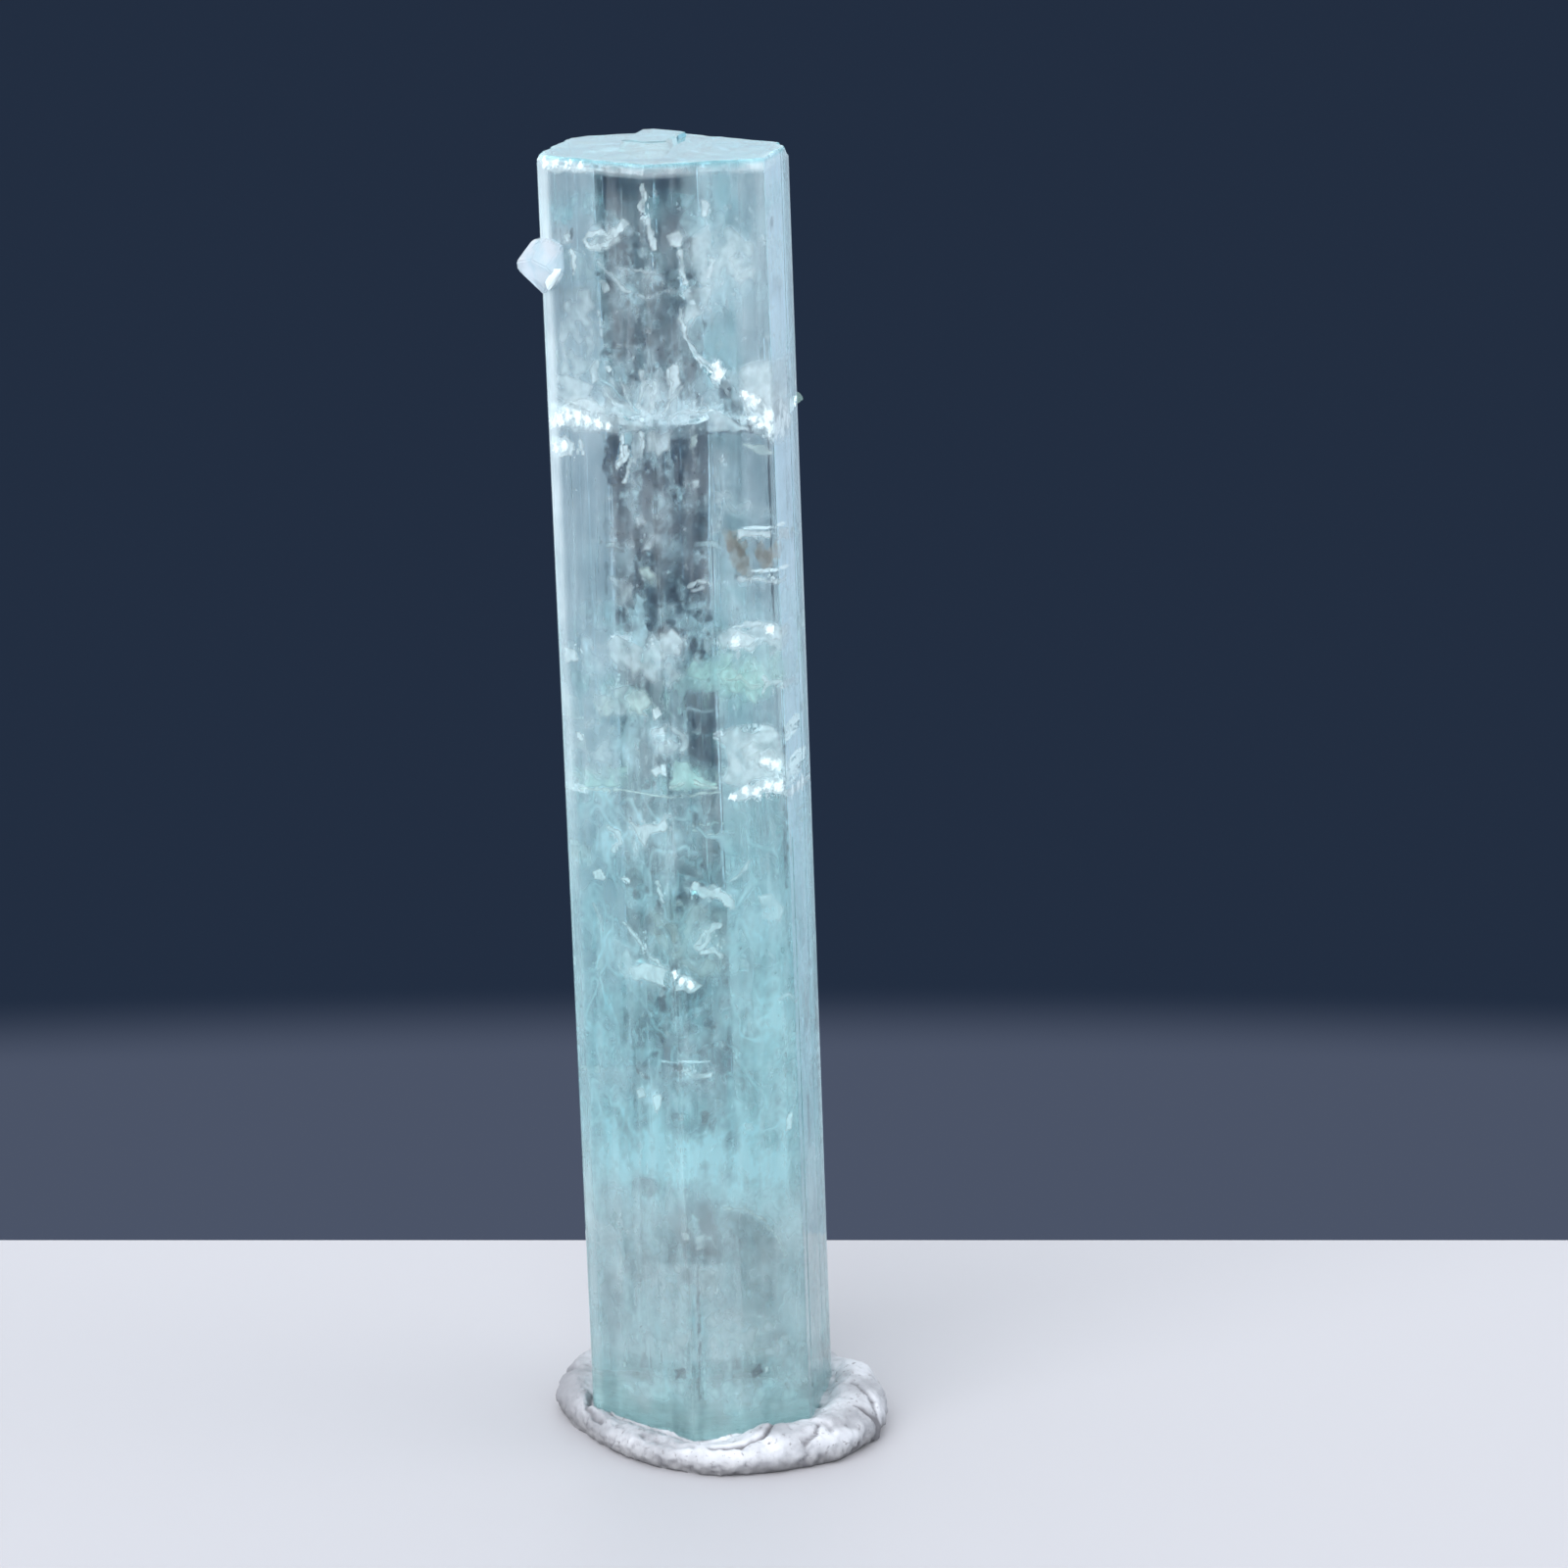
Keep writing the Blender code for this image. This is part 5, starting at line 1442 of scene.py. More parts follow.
def as_veil(depth, density, tint, soft, width, *places):
    """One veil. Its places come as x, height, x, height ... in hundredths of a mm."""
    line = tuple((x / 100, up / 100) for x, up in zip(places[::2], places[1::2]))
    return depth, density, tint, soft, width, line


SMOKE = 1  # the tint of smoky veils
VEILS = tuple(as_veil(*row) for row in VEIL_ROWS)
DARK_VEILS = [v for v in VEILS if v[2] == SMOKE]
print("listed veils:", len(VEILS), "of which smoky:", len(DARK_VEILS))

# %% [markdown]
# The dark heart is also mottled by more small veils than one would care to list. They are drawn at
# random, always from the same seeds: faint upright streaks, and soft blots with a six-point outline.

# %% Streaks and blots
STREAK_COUNT, BLOT_COUNT = 150, 1060
BLOT_HEART, STREAK_HEART, FRONT = (-3.1, 1.5), (-2.8, 1.5), (-5.0, 4.4)  # ranges of x in mm
BLOT_HEIGHTS = ((15.6, 30.5), (38.0, 47.5), (38.0, 47.5), (50.5, 58.0), (34.0, 58.0))
STREAK_FEET, STREAK_LENGTHS, STREAK_WIDTHS = (13.0, 58.5), (0.8, 3.4), (0.04, 0.26)


def streaks_of_growth():
    """Faint upright streaks, clear and smoky ones, mostly in the dark heart."""
    draw = random.Random(31)
    made = []
    for _ in range(STREAK_COUNT):
        x = draw.choice([draw.uniform(*where) for where in (STREAK_HEART, STREAK_HEART, FRONT)])
        height, length = draw.uniform(*STREAK_FEET), draw.uniform(*STREAK_LENGTHS)
        tint = draw.choice((0, 0, 0.25, SMOKE, SMOKE))
        density = draw.uniform(0.12, 0.42) * (0.8 if tint else 0.6)
        line = ((x, height), (x + draw.gauss(0, 0.05), height + length / 2),
                (x + draw.gauss(0, 0.08), height + length))
        depth, soft = draw.uniform(0.35, 0.65), draw.uniform(0.05, 0.14)
        width = draw.uniform(*STREAK_WIDTHS)
        made.append((depth, density, tint, soft, width, line))
    return made


def blots_of_the_heart():
    """Soft blots, icy and smoky, that mottle the heart. Every other one is small."""
    draw = random.Random(57)
    made = []
    for number in range(BLOT_COUNT):
        small = number % 2
        low, high = draw.choice(BLOT_HEIGHTS)
        x, height = draw.uniform(*BLOT_HEART), draw.uniform(low, high)
        wide, tall = draw.uniform(0.07, 0.34 - 0.20 * small), draw.uniform(0.08, 0.55 - 0.35 * small)
        tint = draw.choice((0, 0.25, 0.25, 0.25, SMOKE, SMOKE, SMOKE))
        density = draw.uniform(0.25, 0.65) * (1.0 if tint == SMOKE else 0.55) + 0.15 * small
        rim = []
        for turn in (math.radians(60 * k) for k in range(6)):
            across = x + wide * math.cos(turn) * draw.uniform(0.5, 1.2)
            rim.append((across, height + tall * math.sin(turn) * draw.uniform(0.6, 1.2)))
        made.append((draw.uniform(0.25, 0.55), density, tint, draw.uniform(0.08, 0.22), 0, tuple(rim)))
    return made


VEILS += tuple(streaks_of_growth() + blots_of_the_heart())
print("with streaks and blots:", len(VEILS))

# %% [markdown]
# ## Where it is milky
#
# Inside, the crystal holds clouds of tiny bubbles. They are listed here as soft spots: how far right
# and how high each is seen on the front, its half sizes, how dense it is and its tint, where 0 is icy
# white, 0.5 blue-green and 1 leaf green. Clearings follow in a list of their own, with the share of
# the milk that each takes away. Both lists guide the milky layer and the loose flecks alike.

# %% Clouds and clearings
CLOUDS = (
    (2.6, 57.2, 1.9, 2.6, 0.26, 0.1),  # pale haze right of the dark heart
    (2.3, 54.2, 1.6, 1.6, 0.20, 0.1),
    (-2.4, 57.7, 1.0, 0.35, 0.55, 0.0),  # ring with a tail
    (0.5, 57.4, 0.35, 0.4, 0.7, 0.0),
    (1.3, 53.8, 0.6, 0.7, 0.6, 0.0),
    (-1.4, 55.9, 0.9, 0.25, 0.30, 0.2),
    (-0.9, 50.0, 2.3, 1.2, 0.50, 0.1),  # haze above the upper crack
    (1.2, 49.4, 1.6, 0.9, 0.45, 0.1),
    (-4.4, 49.4, 0.9, 0.4, 0.25, 0.0),
    (4.4, 49.6, 0.9, 0.5, 0.25, 0.0),
    (-1.6, 47.8, 1.2, 0.9, 0.35, 0.0),
    (4.6, 51.8, 0.9, 2.4, 0.15, 0.0),
    (-1.1, 43.4, 0.5, 0.5, 0.35, 0.1),
    (-1.3, 41.6, 0.6, 0.4, 0.40, 0.6),
    (-1.8, 40.2, 0.4, 1.6, 0.35, 0.2),
    (3.8, 43.3, 0.9, 0.35, 0.55, 0.0),
    (3.9, 41.2, 1.0, 0.3, 0.55, 0.0),
    (-1.0, 38.3, 1.8, 0.9, 0.60, 0.1),  # blotchy white zone
    (2.7, 38.4, 1.5, 0.8, 0.55, 0.1),
    (-4.6, 37.6, 1.0, 0.7, 0.35, 0.1),
    (2.0, 36.7, 2.0, 0.9, 0.55, 1.0),  # green cloud
    (3.8, 36.3, 1.0, 0.8, 0.45, 0.9),
    (-2.6, 35.6, 1.6, 0.8, 0.55, 0.75),
    (-0.7, 34.0, 0.9, 0.8, 0.50, 0.2),
    (-3.0, 33.4, 1.0, 1.6, 0.35, 0.3),
    (0.4, 32.2, 1.2, 0.6, 0.60, 0.8),
    (3.3, 33.6, 1.3, 0.5, 0.30, 0.0),
    (-4.0, 31.2, 1.6, 0.5, 0.40, 0.6),
    (-2.1, 29.4, 1.3, 0.9, 0.50, 0.1),
    (-3.9, 28.6, 0.7, 1.2, 0.35, 0.2),
    (-1.2, 27.5, 0.4, 1.4, 0.35, 0.2),
    (1.0, 26.3, 1.2, 0.4, 0.45, 0.1),
    (0.8, 24.3, 1.0, 0.7, 0.35, 0.3),
    (-1.8, 22.5, 1.6, 0.6, 0.65, 0.0),
    (-3.2, 23.4, 1.2, 1.2, 0.30, 0.2),
    (3.9, 25.0, 0.9, 1.4, 0.30, 0.2),
    (-3.9, 19.5, 1.3, 2.6, 0.25, 0.5),
    (3.7, 20.0, 1.4, 5.0, 0.30, 0.6),
    (-0.5, 18.0, 0.9, 0.4, 0.5, 0.1),
    (-2.2, 16.4, 0.7, 0.4, 0.5, 0.0),
    (-0.6, 13.4, 6.5, 1.7, 0.70, 0.5),  # the milky belt
    (2.6, 11.4, 1.6, 1.3, 0.45, 0.5),
    (-3.6, 8.5, 1.6, 3.0, 0.18, 0.4),
    (0.4, 6.6, 0.9, 1.6, 0.35, 0.1),
    (0.0, 5.0, 6.5, 3.0, 0.14, 0.3),
)
CLEARINGS = (
    (-2.5, 59.7, 0.7, 0.7, 1.0), (0.2, 59.4, 0.55, 1.2, 1.0), (0.5, 58.2, 0.4, 0.6, 1.0),
    (1.1, 50.6, 0.35, 1.5, 0.9), (-2.8, 47.2, 0.4, 1.1, 1.0), (0.8, 46.6, 0.9, 1.4, 1.0),
    (0.9, 41.6, 0.5, 1.0, 0.9), (0.8, 39.6, 0.8, 0.4, 0.8), (0.8, 34.6, 0.7, 1.1, 0.9),
    (0.9, 33.4, 0.6, 0.8, 0.9), (2.8, 50.0, 0.5, 0.5, 0.6), (-0.1, 10.4, 0.6, 1.5, 0.8),
    (-2.8, 12.2, 0.7, 0.5, 0.6),
)
print("clouds:", len(CLOUDS), "clearings:", len(CLEARINGS))

# %% [markdown]
# A few small functions turn the lists into numbers for any place: how near a listed spot it is, how
# milky the plain stone is at its height, how far inside a veil's outline it lies, and the sum of it
# all. Noise bends every outline and breaks up every cloud, so that nothing looks drawn by compass.

# %% How milky a place is
MIDDLE_CRACK, TINT_CHANGE = 31.0, 30.9  # mm from the foot
LOWER_TINT, UPPER_TINT = 0.5, 0.12
SMOKE_CLEARS = 1.6  # how much more a smoky veil clears the milk than it is dense
VEIL_WANDER, VEIL_FRAY = 0.10, 0.06  # mm that a listed outline is bent and frayed
CLOUD_WANDER, MILK_GRAIN = 0.35, 0.9


def soft_spot(x, height, spot):
    """1 at the middle of a listed spot, fading outwards."""
    across, up = (x - spot[0]) / spot[2], (height - spot[1]) / spot[3]
    return math.exp(-(across * across + up * up))


def base_milk(height):
    """How milky the stone is at a height, apart from the listed clouds."""
    if height > MIDDLE_CRACK:
        return 0.05 + 0.04 * step_up(42.0 - height, 0.0, 8.0)
    return (0.15 + 0.07 * step_up(28.0 - height, 0.0, 16.0)) * step_up(height, 0.4, 3.0)


def veil_share(x, height, veil):
    """1 inside a listed shape, 0 outside, and between them across its soft edge."""
    _, _, _, soft, width, line = veil
    reach = soft + width + 0.1
    if not (min(p[0] for p in line) - reach < x < max(p[0] for p in line) + reach
            and min(p[1] for p in line) - reach < height < max(p[1] for p in line) + reach):
        return 0.0
    x += VEIL_WANDER * noise.noise(Vector((x * 2.3, height * 2.3, 3.0)))
    height += VEIL_WANDER * noise.noise(Vector((x * 2.3, height * 2.3, 8.0)))
    place = Vector((x, height))
    closed = line if width else (*line, line[0])
    away, crossings = math.inf, 0
    for start, end in zip(closed, closed[1:]):
        start, end = Vector(start), Vector(end)
        share = (place - start).dot(end - start) / max((end - start).length_squared, 1e-9)
        away = min(away, (place - start.lerp(end, min(max(share, 0.0), 1.0))).length)
        if (start.y > height) != (end.y > height):
            crossings += x < start.x + (end.x - start.x) * (height - start.y) / (end.y - start.y)
    if width:
        away = width * (0.5 + 0.45 * noise.noise(Vector((x * 2.9, height * 2.9, 5.0)))) - away
    elif crossings % 2 == 0:
        away = -away
    away += VEIL_FRAY * noise.noise(Vector((x * 4.3, height * 4.3, 1.0)))
    return step_up(away, -soft / 2, soft / 2)


def milk_at(x, height, shift=0.0):
    """Density and tint at a place seen on the front. shift draws another pattern of the same kind."""
    grain = noise.fractal(Vector((x * 1.1 + shift, shift, height * 0.42)), 0.6, 2.1, 4)
    edge = Vector((noise.noise(Vector((x * 1.4, height * 1.4, 2.0))),
                   noise.noise(Vector((x * 1.4, height * 1.4, 7.0))))) * CLOUD_WANDER
    amount = base_milk(height)
    total = amount
    tint = amount * (LOWER_TINT if height < TINT_CHANGE else UPPER_TINT)
    for cloud in CLOUDS:
        share = soft_spot(x + edge.x, height + edge.y, cloud) * cloud[4]
        amount += share
        total += share
        tint += share * cloud[5]
    for clearing in CLEARINGS:
        amount *= 1 - clearing[4] * soft_spot(x + edge.x, height + edge.y, clearing)
    if shift == 0.0:
        for veil in DARK_VEILS:
            amount *= 1 - SMOKE_CLEARS * veil[1] * veil_share(x, height, veil)
    amount *= 1.0 + MILK_GRAIN * grain
    return min(max(amount, 0.0), 1.0), tint / total


print("milk and tint in the belt:", [round(v, 2) for v in milk_at(0.0, 13.4)])

# %% [markdown]
# ## The milky layer
#
# A crystal grows in layers, like a tree. One layer, close under the faces, trapped most of the
# bubbles. It is modelled as a closed inner prism whose mesh is fine enough to carry two numbers at
# each point, how milky and which tint. The material turns them into colour and see-through.

# %% Build the milky layer
LAYER_INSET = 0.75 * MM
LAYER_FOOT, LAYER_END = 0.7, 60.1
LAYER_STEP = 0.16
BACK_STEP = 0.30
BACK_MILK, BACK_SHIFT = 0.6, 20.0  # the back's own pattern is thinner
LAYER_WAVE = 0.22  # mm


def layer_outline():
    """Evenly spaced points round the inner prism, each with its face."""
    distances = [d - LAYER_INSET for d in FACE_DISTANCES]
    points = []
    for face in range(6):
        start, end = corner(distances, face - 1), corner(distances, face)
        count = round((end - start).length / MM / (LAYER_STEP if face in FRONT_FACES else BACK_STEP))
        points += [(start.lerp(end, i / count) / MM, face) for i in range(count)]
    return points


def milky_layer():
    ring = layer_outline()
    count = round((LAYER_END - LAYER_FOOT) / LAYER_STEP)
    bm = bmesh.new()
    grid, milk, tint = [], [], []
    for i in range(count + 1):
        height = LAYER_FOOT + (LAYER_END - LAYER_FOOT) * i / count
        row = []
        for point, face in ring:
            wave = LAYER_WAVE * noise.noise(Vector((point.x * 0.5, point.y * 0.5, height * 0.22)))
            place = point * (1 + wave / point.length)
            row.append(bm.verts.new(on_prism(place * MM, height * MM)))
            if face in FRONT_FACES:
                seen_x = point.x - SIGHT_SLOPES[face] * LAYER_INSET / MM
                density, hue = milk_at(seen_x, height + 0.1)
            else:
                density, hue = milk_at(point.x, height, shift=BACK_SHIFT)
                density *= BACK_MILK
            milk.append(density)
            tint.append(hue)
        grid.append(row)
    skin(bm, grid)
    layer = add_object(bm, "milky_layer")
    mark(layer.data, "milk", milk)
    mark(layer.data, "tint", tint)
    layer.data.shade_smooth()
    return layer


layer = milky_layer()
print("milky layer:", len(layer.data.polygons), "faces")

# %% Finish of the milky layer
ICE, SEA, LEAF = (0.84, 0.95, 1.0), (0.60, 0.83, 0.87), (0.66, 0.92, 0.86)
GRAIN_EDGES = (0.30, 0.70)
FINE_SHARE, FIBRE_SHARE, PLAIN_SHARE = 1.05, 0.42, 0.35
WORM_WIDTH, WORM_DENSITY = 0.085, 0.40  # thin winding white lines, a kind of healed crack
WORMS_RISE, WORMS_END = (0.013, 0.018), (0.0315, 0.0335)  # heights in metres

milky, tree, shader = finish("milky_beryl")
milk = marked(tree, "milk")
place = object_place(tree)
tints = ramp(tree, marked(tree, "tint"), ((0.0, ICE), (0.5, SEA), (1.0, LEAF)))
tree.links.new(tints, shader.inputs["Base Color"])
shader.inputs["Roughness"].default_value = 0.8
shader.inputs["Specular IOR Level"].default_value = 0.0
fine = eased(tree, stretched_noise(tree, place, 760.0, 560.0, 4.0), *GRAIN_EDGES)
fibres = eased(tree, stretched_noise(tree, place, 1100.0, 150.0, 2.0), *GRAIN_EDGES)
grain = math_node(tree, "ADD", times(tree, fine, FINE_SHARE), times(tree, fibres, FIBRE_SHARE))
cloudy = times(tree, milk, math_node(tree, "ADD", grain, PLAIN_SHARE))
height = height_of(tree, place)
winding = stretched_noise(tree, place, 700.0, 520.0, 1.0, distortion=0.5)
winding = math_node(tree, "ABSOLUTE", math_node(tree, "SUBTRACT", winding, 0.5))
worms = math_node(tree, "SUBTRACT", 1.0, eased(tree, winding, 0.0, WORM_WIDTH))
reach = math_node(tree, "SUBTRACT", eased(tree, height, *WORMS_RISE), eased(tree, height, *WORMS_END))
patches = eased(tree, stretched_noise(tree, place, 330.0, 260.0, 2.0), 0.36, 0.60)
worms = times(tree, times(tree, worms, reach), times(tree, patches, WORM_DENSITY))
tree.links.new(clamped(tree, "ADD", cloudy, worms), shader.inputs["Alpha"])
layer.data.materials.append(milky)
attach(layer, "root")
print("milky layer tints:", ICE, SEA, LEAF)

# %% [markdown]
# Each veil becomes a wavy sheet of small squares a little under the face. It keeps only the squares
# that show, and each point carries the density and the tint for the material.

# %% One veil as a sheet
VEIL_STEP = 0.075
VEIL_TOP, BACK_VEIL_TOP = 60.6, 58.6
BACK_FLIP, BACK_FOOT = -0.93, 59.5  # a copy at the back is turned through the axis and upside down
SOFT_VEIL = 0.2  # from this soft edge on, a veil is mottled as a cloud
THINNEST = 0.01
VEIL_WAVE, VEIL_COVER = 0.06, 0.04  # mm: how wavy a sheet is, and how far under the face it stays


def veil_sheet(number, veil, behind=False):
    """Points, faces and densities of one veil, as a wavy sheet of small squares."""
    depth, density, _, soft, width, line = veil
    reach = soft + width
    low = [min(p[i] for p in line) - reach for i in (0, 1)]
    high = [max(p[i] for p in line) + reach for i in (0, 1)]
    across, up = (math.ceil((high[i] - low[i]) / VEIL_STEP) + 1 for i in (0, 1))
    kept, points, densities, faces = {}, [], [], []
    for j in range(up):
        for i in range(across):
            x, height = low[0] + i * VEIL_STEP, low[1] + j * VEIL_STEP
            share = veil_share(x, height, veil)
            inner = depth + VEIL_WAVE * noise.noise(Vector((x * 0.9, height * 0.9, number * 2.7)))
            place = section_place(x, inner)
            if room(place) < VEIL_COVER or height > (BACK_VEIL_TOP if behind else VEIL_TOP):
                continue
            point = inside(x, height, inner)
            if behind:
                point = on_prism(place * BACK_FLIP * MM, (BACK_FOOT - height) * MM)
            pattern = noise.fractal(Vector((x * 1.5, height * 1.2, number)), 0.9, 2.1, 2)
            cloudy = 0.50 + 0.75 * step_up(pattern, -0.40, 0.45)
            mottle = cloudy if soft >= SOFT_VEIL else 1.0 + 0.6 * pattern
            kept[i, j] = len(points)
            points.append(point)
            densities.append(min(max(density * share * mottle, 0.0), 1.0))
    for i, j in kept:
        square = [kept.get(key) for key in ((i, j), (i + 1, j), (i + 1, j + 1), (i, j + 1))]
        if None not in square and max(densities[k] for k in square) > THINNEST:
            faces.append(square)
    return points, faces, densities


print("squares in the first veil:", len(veil_sheet(0, VEILS[0])[1]))

# %% All veils in one mesh
def veil_piece():
    """All veils as one mesh. Every third one also has a copy at the back."""
    points, faces, densities, tints = [], [], [], []
    for number, veil in enumerate(VEILS):
        for behind in (False, True) if number % 3 == 1 else (False,):
            some_points, some_faces, some_densities = veil_sheet(number, veil, behind)
            faces += [[len(points) + k for k in face] for face in some_faces]
            points += some_points
            densities += some_densities
            tints += [veil[2]] * len(some_points)
    mesh = bpy.data.meshes.new("healed_veils")
    mesh.from_pydata(points, [], faces)
    mark(mesh, "milk", densities)
    mark(mesh, "tint", tints)
    bm = bmesh.new()
    bm.from_mesh(mesh)
    bmesh.ops.delete(bm, geom=[v for v in bm.verts if not v.link_faces], context="VERTS")
    bm.to_mesh(mesh)
    bm.free()
    mesh.shade_smooth()
    piece = bpy.data.objects.new("healed_veils", mesh)
    scene.collection.objects.link(piece)
    return piece


veils = veil_piece()
print("veil squares:", len(veils.data.polygons))

# %% Finish of the veils
VEIL_TINTS = ((0.0, (0.96, 1.0, 1.0)), (0.25, (0.74, 0.94, 0.98)), (0.5, (0.72, 0.96, 0.89)),
              (0.75, (0.88, 0.97, 0.91)), (1.0, (0.05, 0.08, 0.125)))
veil_finish, tree, shader = finish("healed_veil")
milk = marked(tree, "milk")
tree.links.new(ramp(tree, marked(tree, "tint"), VEIL_TINTS), shader.inputs["Base Color"])
shader.inputs["Roughness"].default_value = 0.45
shader.inputs["Specular IOR Level"].default_value = 0.2
speckle = eased(tree, stretched_noise(tree, object_place(tree), 1500.0, 1100.0, 3.0), 0.30, 0.66)
speckle = math_node(tree, "ADD", times(tree, speckle, 0.50), 0.64)
tree.links.new(clamped(tree, "MULTIPLY", milk, speckle), shader.inputs["Alpha"])
veils.data.materials.append(veil_finish)
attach(veils, "root")
print("veil tints:", len(VEIL_TINTS))

# %% [markdown]
# ## Flecks
#
# Closer up, the clouds are grains: little flat bubbles and healed splits that lie along the prism.
# Thousands of tiny closed bipyramids stand for them, scattered more densely where the stone is milky
# and at many depths, so that the clouds shift against each other when one walks round the crystal.

# %% One fleck, and many in one mesh
def fleck(draw, centre, width, length, thickness):
    """A flat six-point crystal that stands along the axis, turned at random, as (points, faces)."""
    turn = draw.uniform(0, math.pi)
    across = Vector((math.cos(turn), math.sin(turn), 0.0))
    out = Vector((-math.sin(turn), math.cos(turn), 0.0))
    up = (AXIS + across * draw.gauss(0, 0.5)).normalized()
    points = [
        centre + across * width, centre - across * width,
        centre + out * thickness, centre - out * thickness,
        centre + up * length, centre - up * length,
    ]
    faces = [(0, 2, 4), (2, 1, 4), (1, 3, 4), (3, 0, 4), (2, 0, 5), (1, 2, 5), (3, 1, 5), (0, 3, 5)]
    return points, faces


def mesh_piece(name, islands, material):
    """One piece from many closed islands."""
    points, faces = [], []
    for some_points, some_faces in islands:
        first = len(points)
        points += some_points
        faces += [tuple(first + i for i in face) for face in some_faces]
    mesh = bpy.data.meshes.new(name)
    mesh.from_pydata(points, [], faces)
    mesh.update()
    piece = bpy.data.objects.new(name, mesh)
    scene.collection.objects.link(piece)
    mesh.materials.append(material)
    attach(piece, "root")
    return piece


sample = fleck(random.Random(0), Vector(), 1.0, 2.0, 0.3)
print("points and faces of a fleck:", [len(part) for part in sample])

# %% Scatter flecks
FLECK_COVER, FLECK_DEPTHS = 0.12, 0.55  # mm under the face, and how fast they thin out inwards
FLECK_SHIFTS = (0.0, 11.0)
SECTION_WIDTH = (-5.4, 5.3)
MOST_TRIES = 60  # per fleck
FLECK_ROOM, FLECK_FLATNESS = 0.15, 0.3


def scatter(count, seed, low, high, tints, size):
    """Flecks where the stone is milky, between two heights and within a range of tints."""
    draw = random.Random(seed)
    made, tries = [], 0
    while len(made) < count and tries < count * MOST_TRIES:
        tries += 1
        x, height = draw.uniform(*SECTION_WIDTH), draw.uniform(low, high)
        depth = draw.expovariate(FLECK_DEPTHS) + FLECK_COVER
        place = section_place(x, depth)
        if room(place) < FLECK_ROOM:
            continue
        density, hue = milk_at(x, height, shift=draw.choice(FLECK_SHIFTS))
        if not tints[0] <= hue <= tints[1] or draw.random() > density ** 1.5:
            continue
        scale = size * draw.lognormvariate(0.0, 0.45)
        length = scale * draw.uniform(0.6, 1.9) * MM
        width = scale * draw.uniform(0.4, 1.0) * MM
        made.append(fleck(draw, inside(x, height, depth), width, length, width * FLECK_FLATNESS))
    return made


def fleck_finish(name, colour, alpha):
    """Milky white with a little sheen, and finely mottled."""
    darker = tuple(0.72 * c for c in colour)
    material, shader = mottled_finish(name, (1500.0, 1500.0, 2.0), (darker, colour), 0.35)
    shader.inputs["Alpha"].default_value = alpha
    return material


white_fleck = fleck_finish("white_fleck", (0.92, 0.98, 1.0), 0.28)
sea_fleck = fleck_finish("sea_green_fleck", (0.78, 0.92, 0.95), 0.16)
leaf_fleck = fleck_finish("leaf_green_fleck", (0.66, 0.95, 0.86), 0.20)
upper = mesh_piece("flecks_upper", scatter(1000, 1, 30.5, 60.0, (0.0, 0.5), 0.09), white_fleck)
lower = mesh_piece("flecks_lower", scatter(1000, 2, 1.5, 30.5, (0.0, 0.7), 0.12), sea_fleck)
green = mesh_piece("flecks_green", scatter(500, 3, 29.0, 42.5, (0.5, 1.0), 0.12), leaf_fleck)
print("flecks:", [len(p.data.polygons) // 8 for p in (upper, lower, green)])

# %% [markdown]
# ## Bright splinters, glints, a rusty stain and dark grains
#
# Some healed cracks are bright enough to sparkle, one patch behind the right face is stained by iron,
# and a few dark grains sit near the foot. Each is its own small cluster of flat closed pieces. Where
# the splinters are, smaller and flatter ones lie closer under the face and mirror as metal foil does,
# because a crack that mirrors all the light looks just like foil.

# %% Clusters by place
CLUSTER_COVER = 0.1


def cluster(seed, spots, size, flat=0.3):
    """spots are (x, height, depth, half width, half height, how many)."""
    draw = random.Random(seed)
    made = []
    for x, height, depth, wide, tall, count in spots:
        for _ in range(count):
            at_x, at_height = draw.gauss(x, wide * 0.5), draw.gauss(height, tall * 0.5)
            place = section_place(at_x, depth)
            if room(place) < CLUSTER_COVER:
                continue
            width = size * draw.uniform(0.5, 1.3) * MM
            centre = inside(at_x, at_height, depth + draw.uniform(0, 0.25))
            made.append(fleck(draw, centre, width, width * draw.uniform(0.7, 1.8), width * flat))
    return made


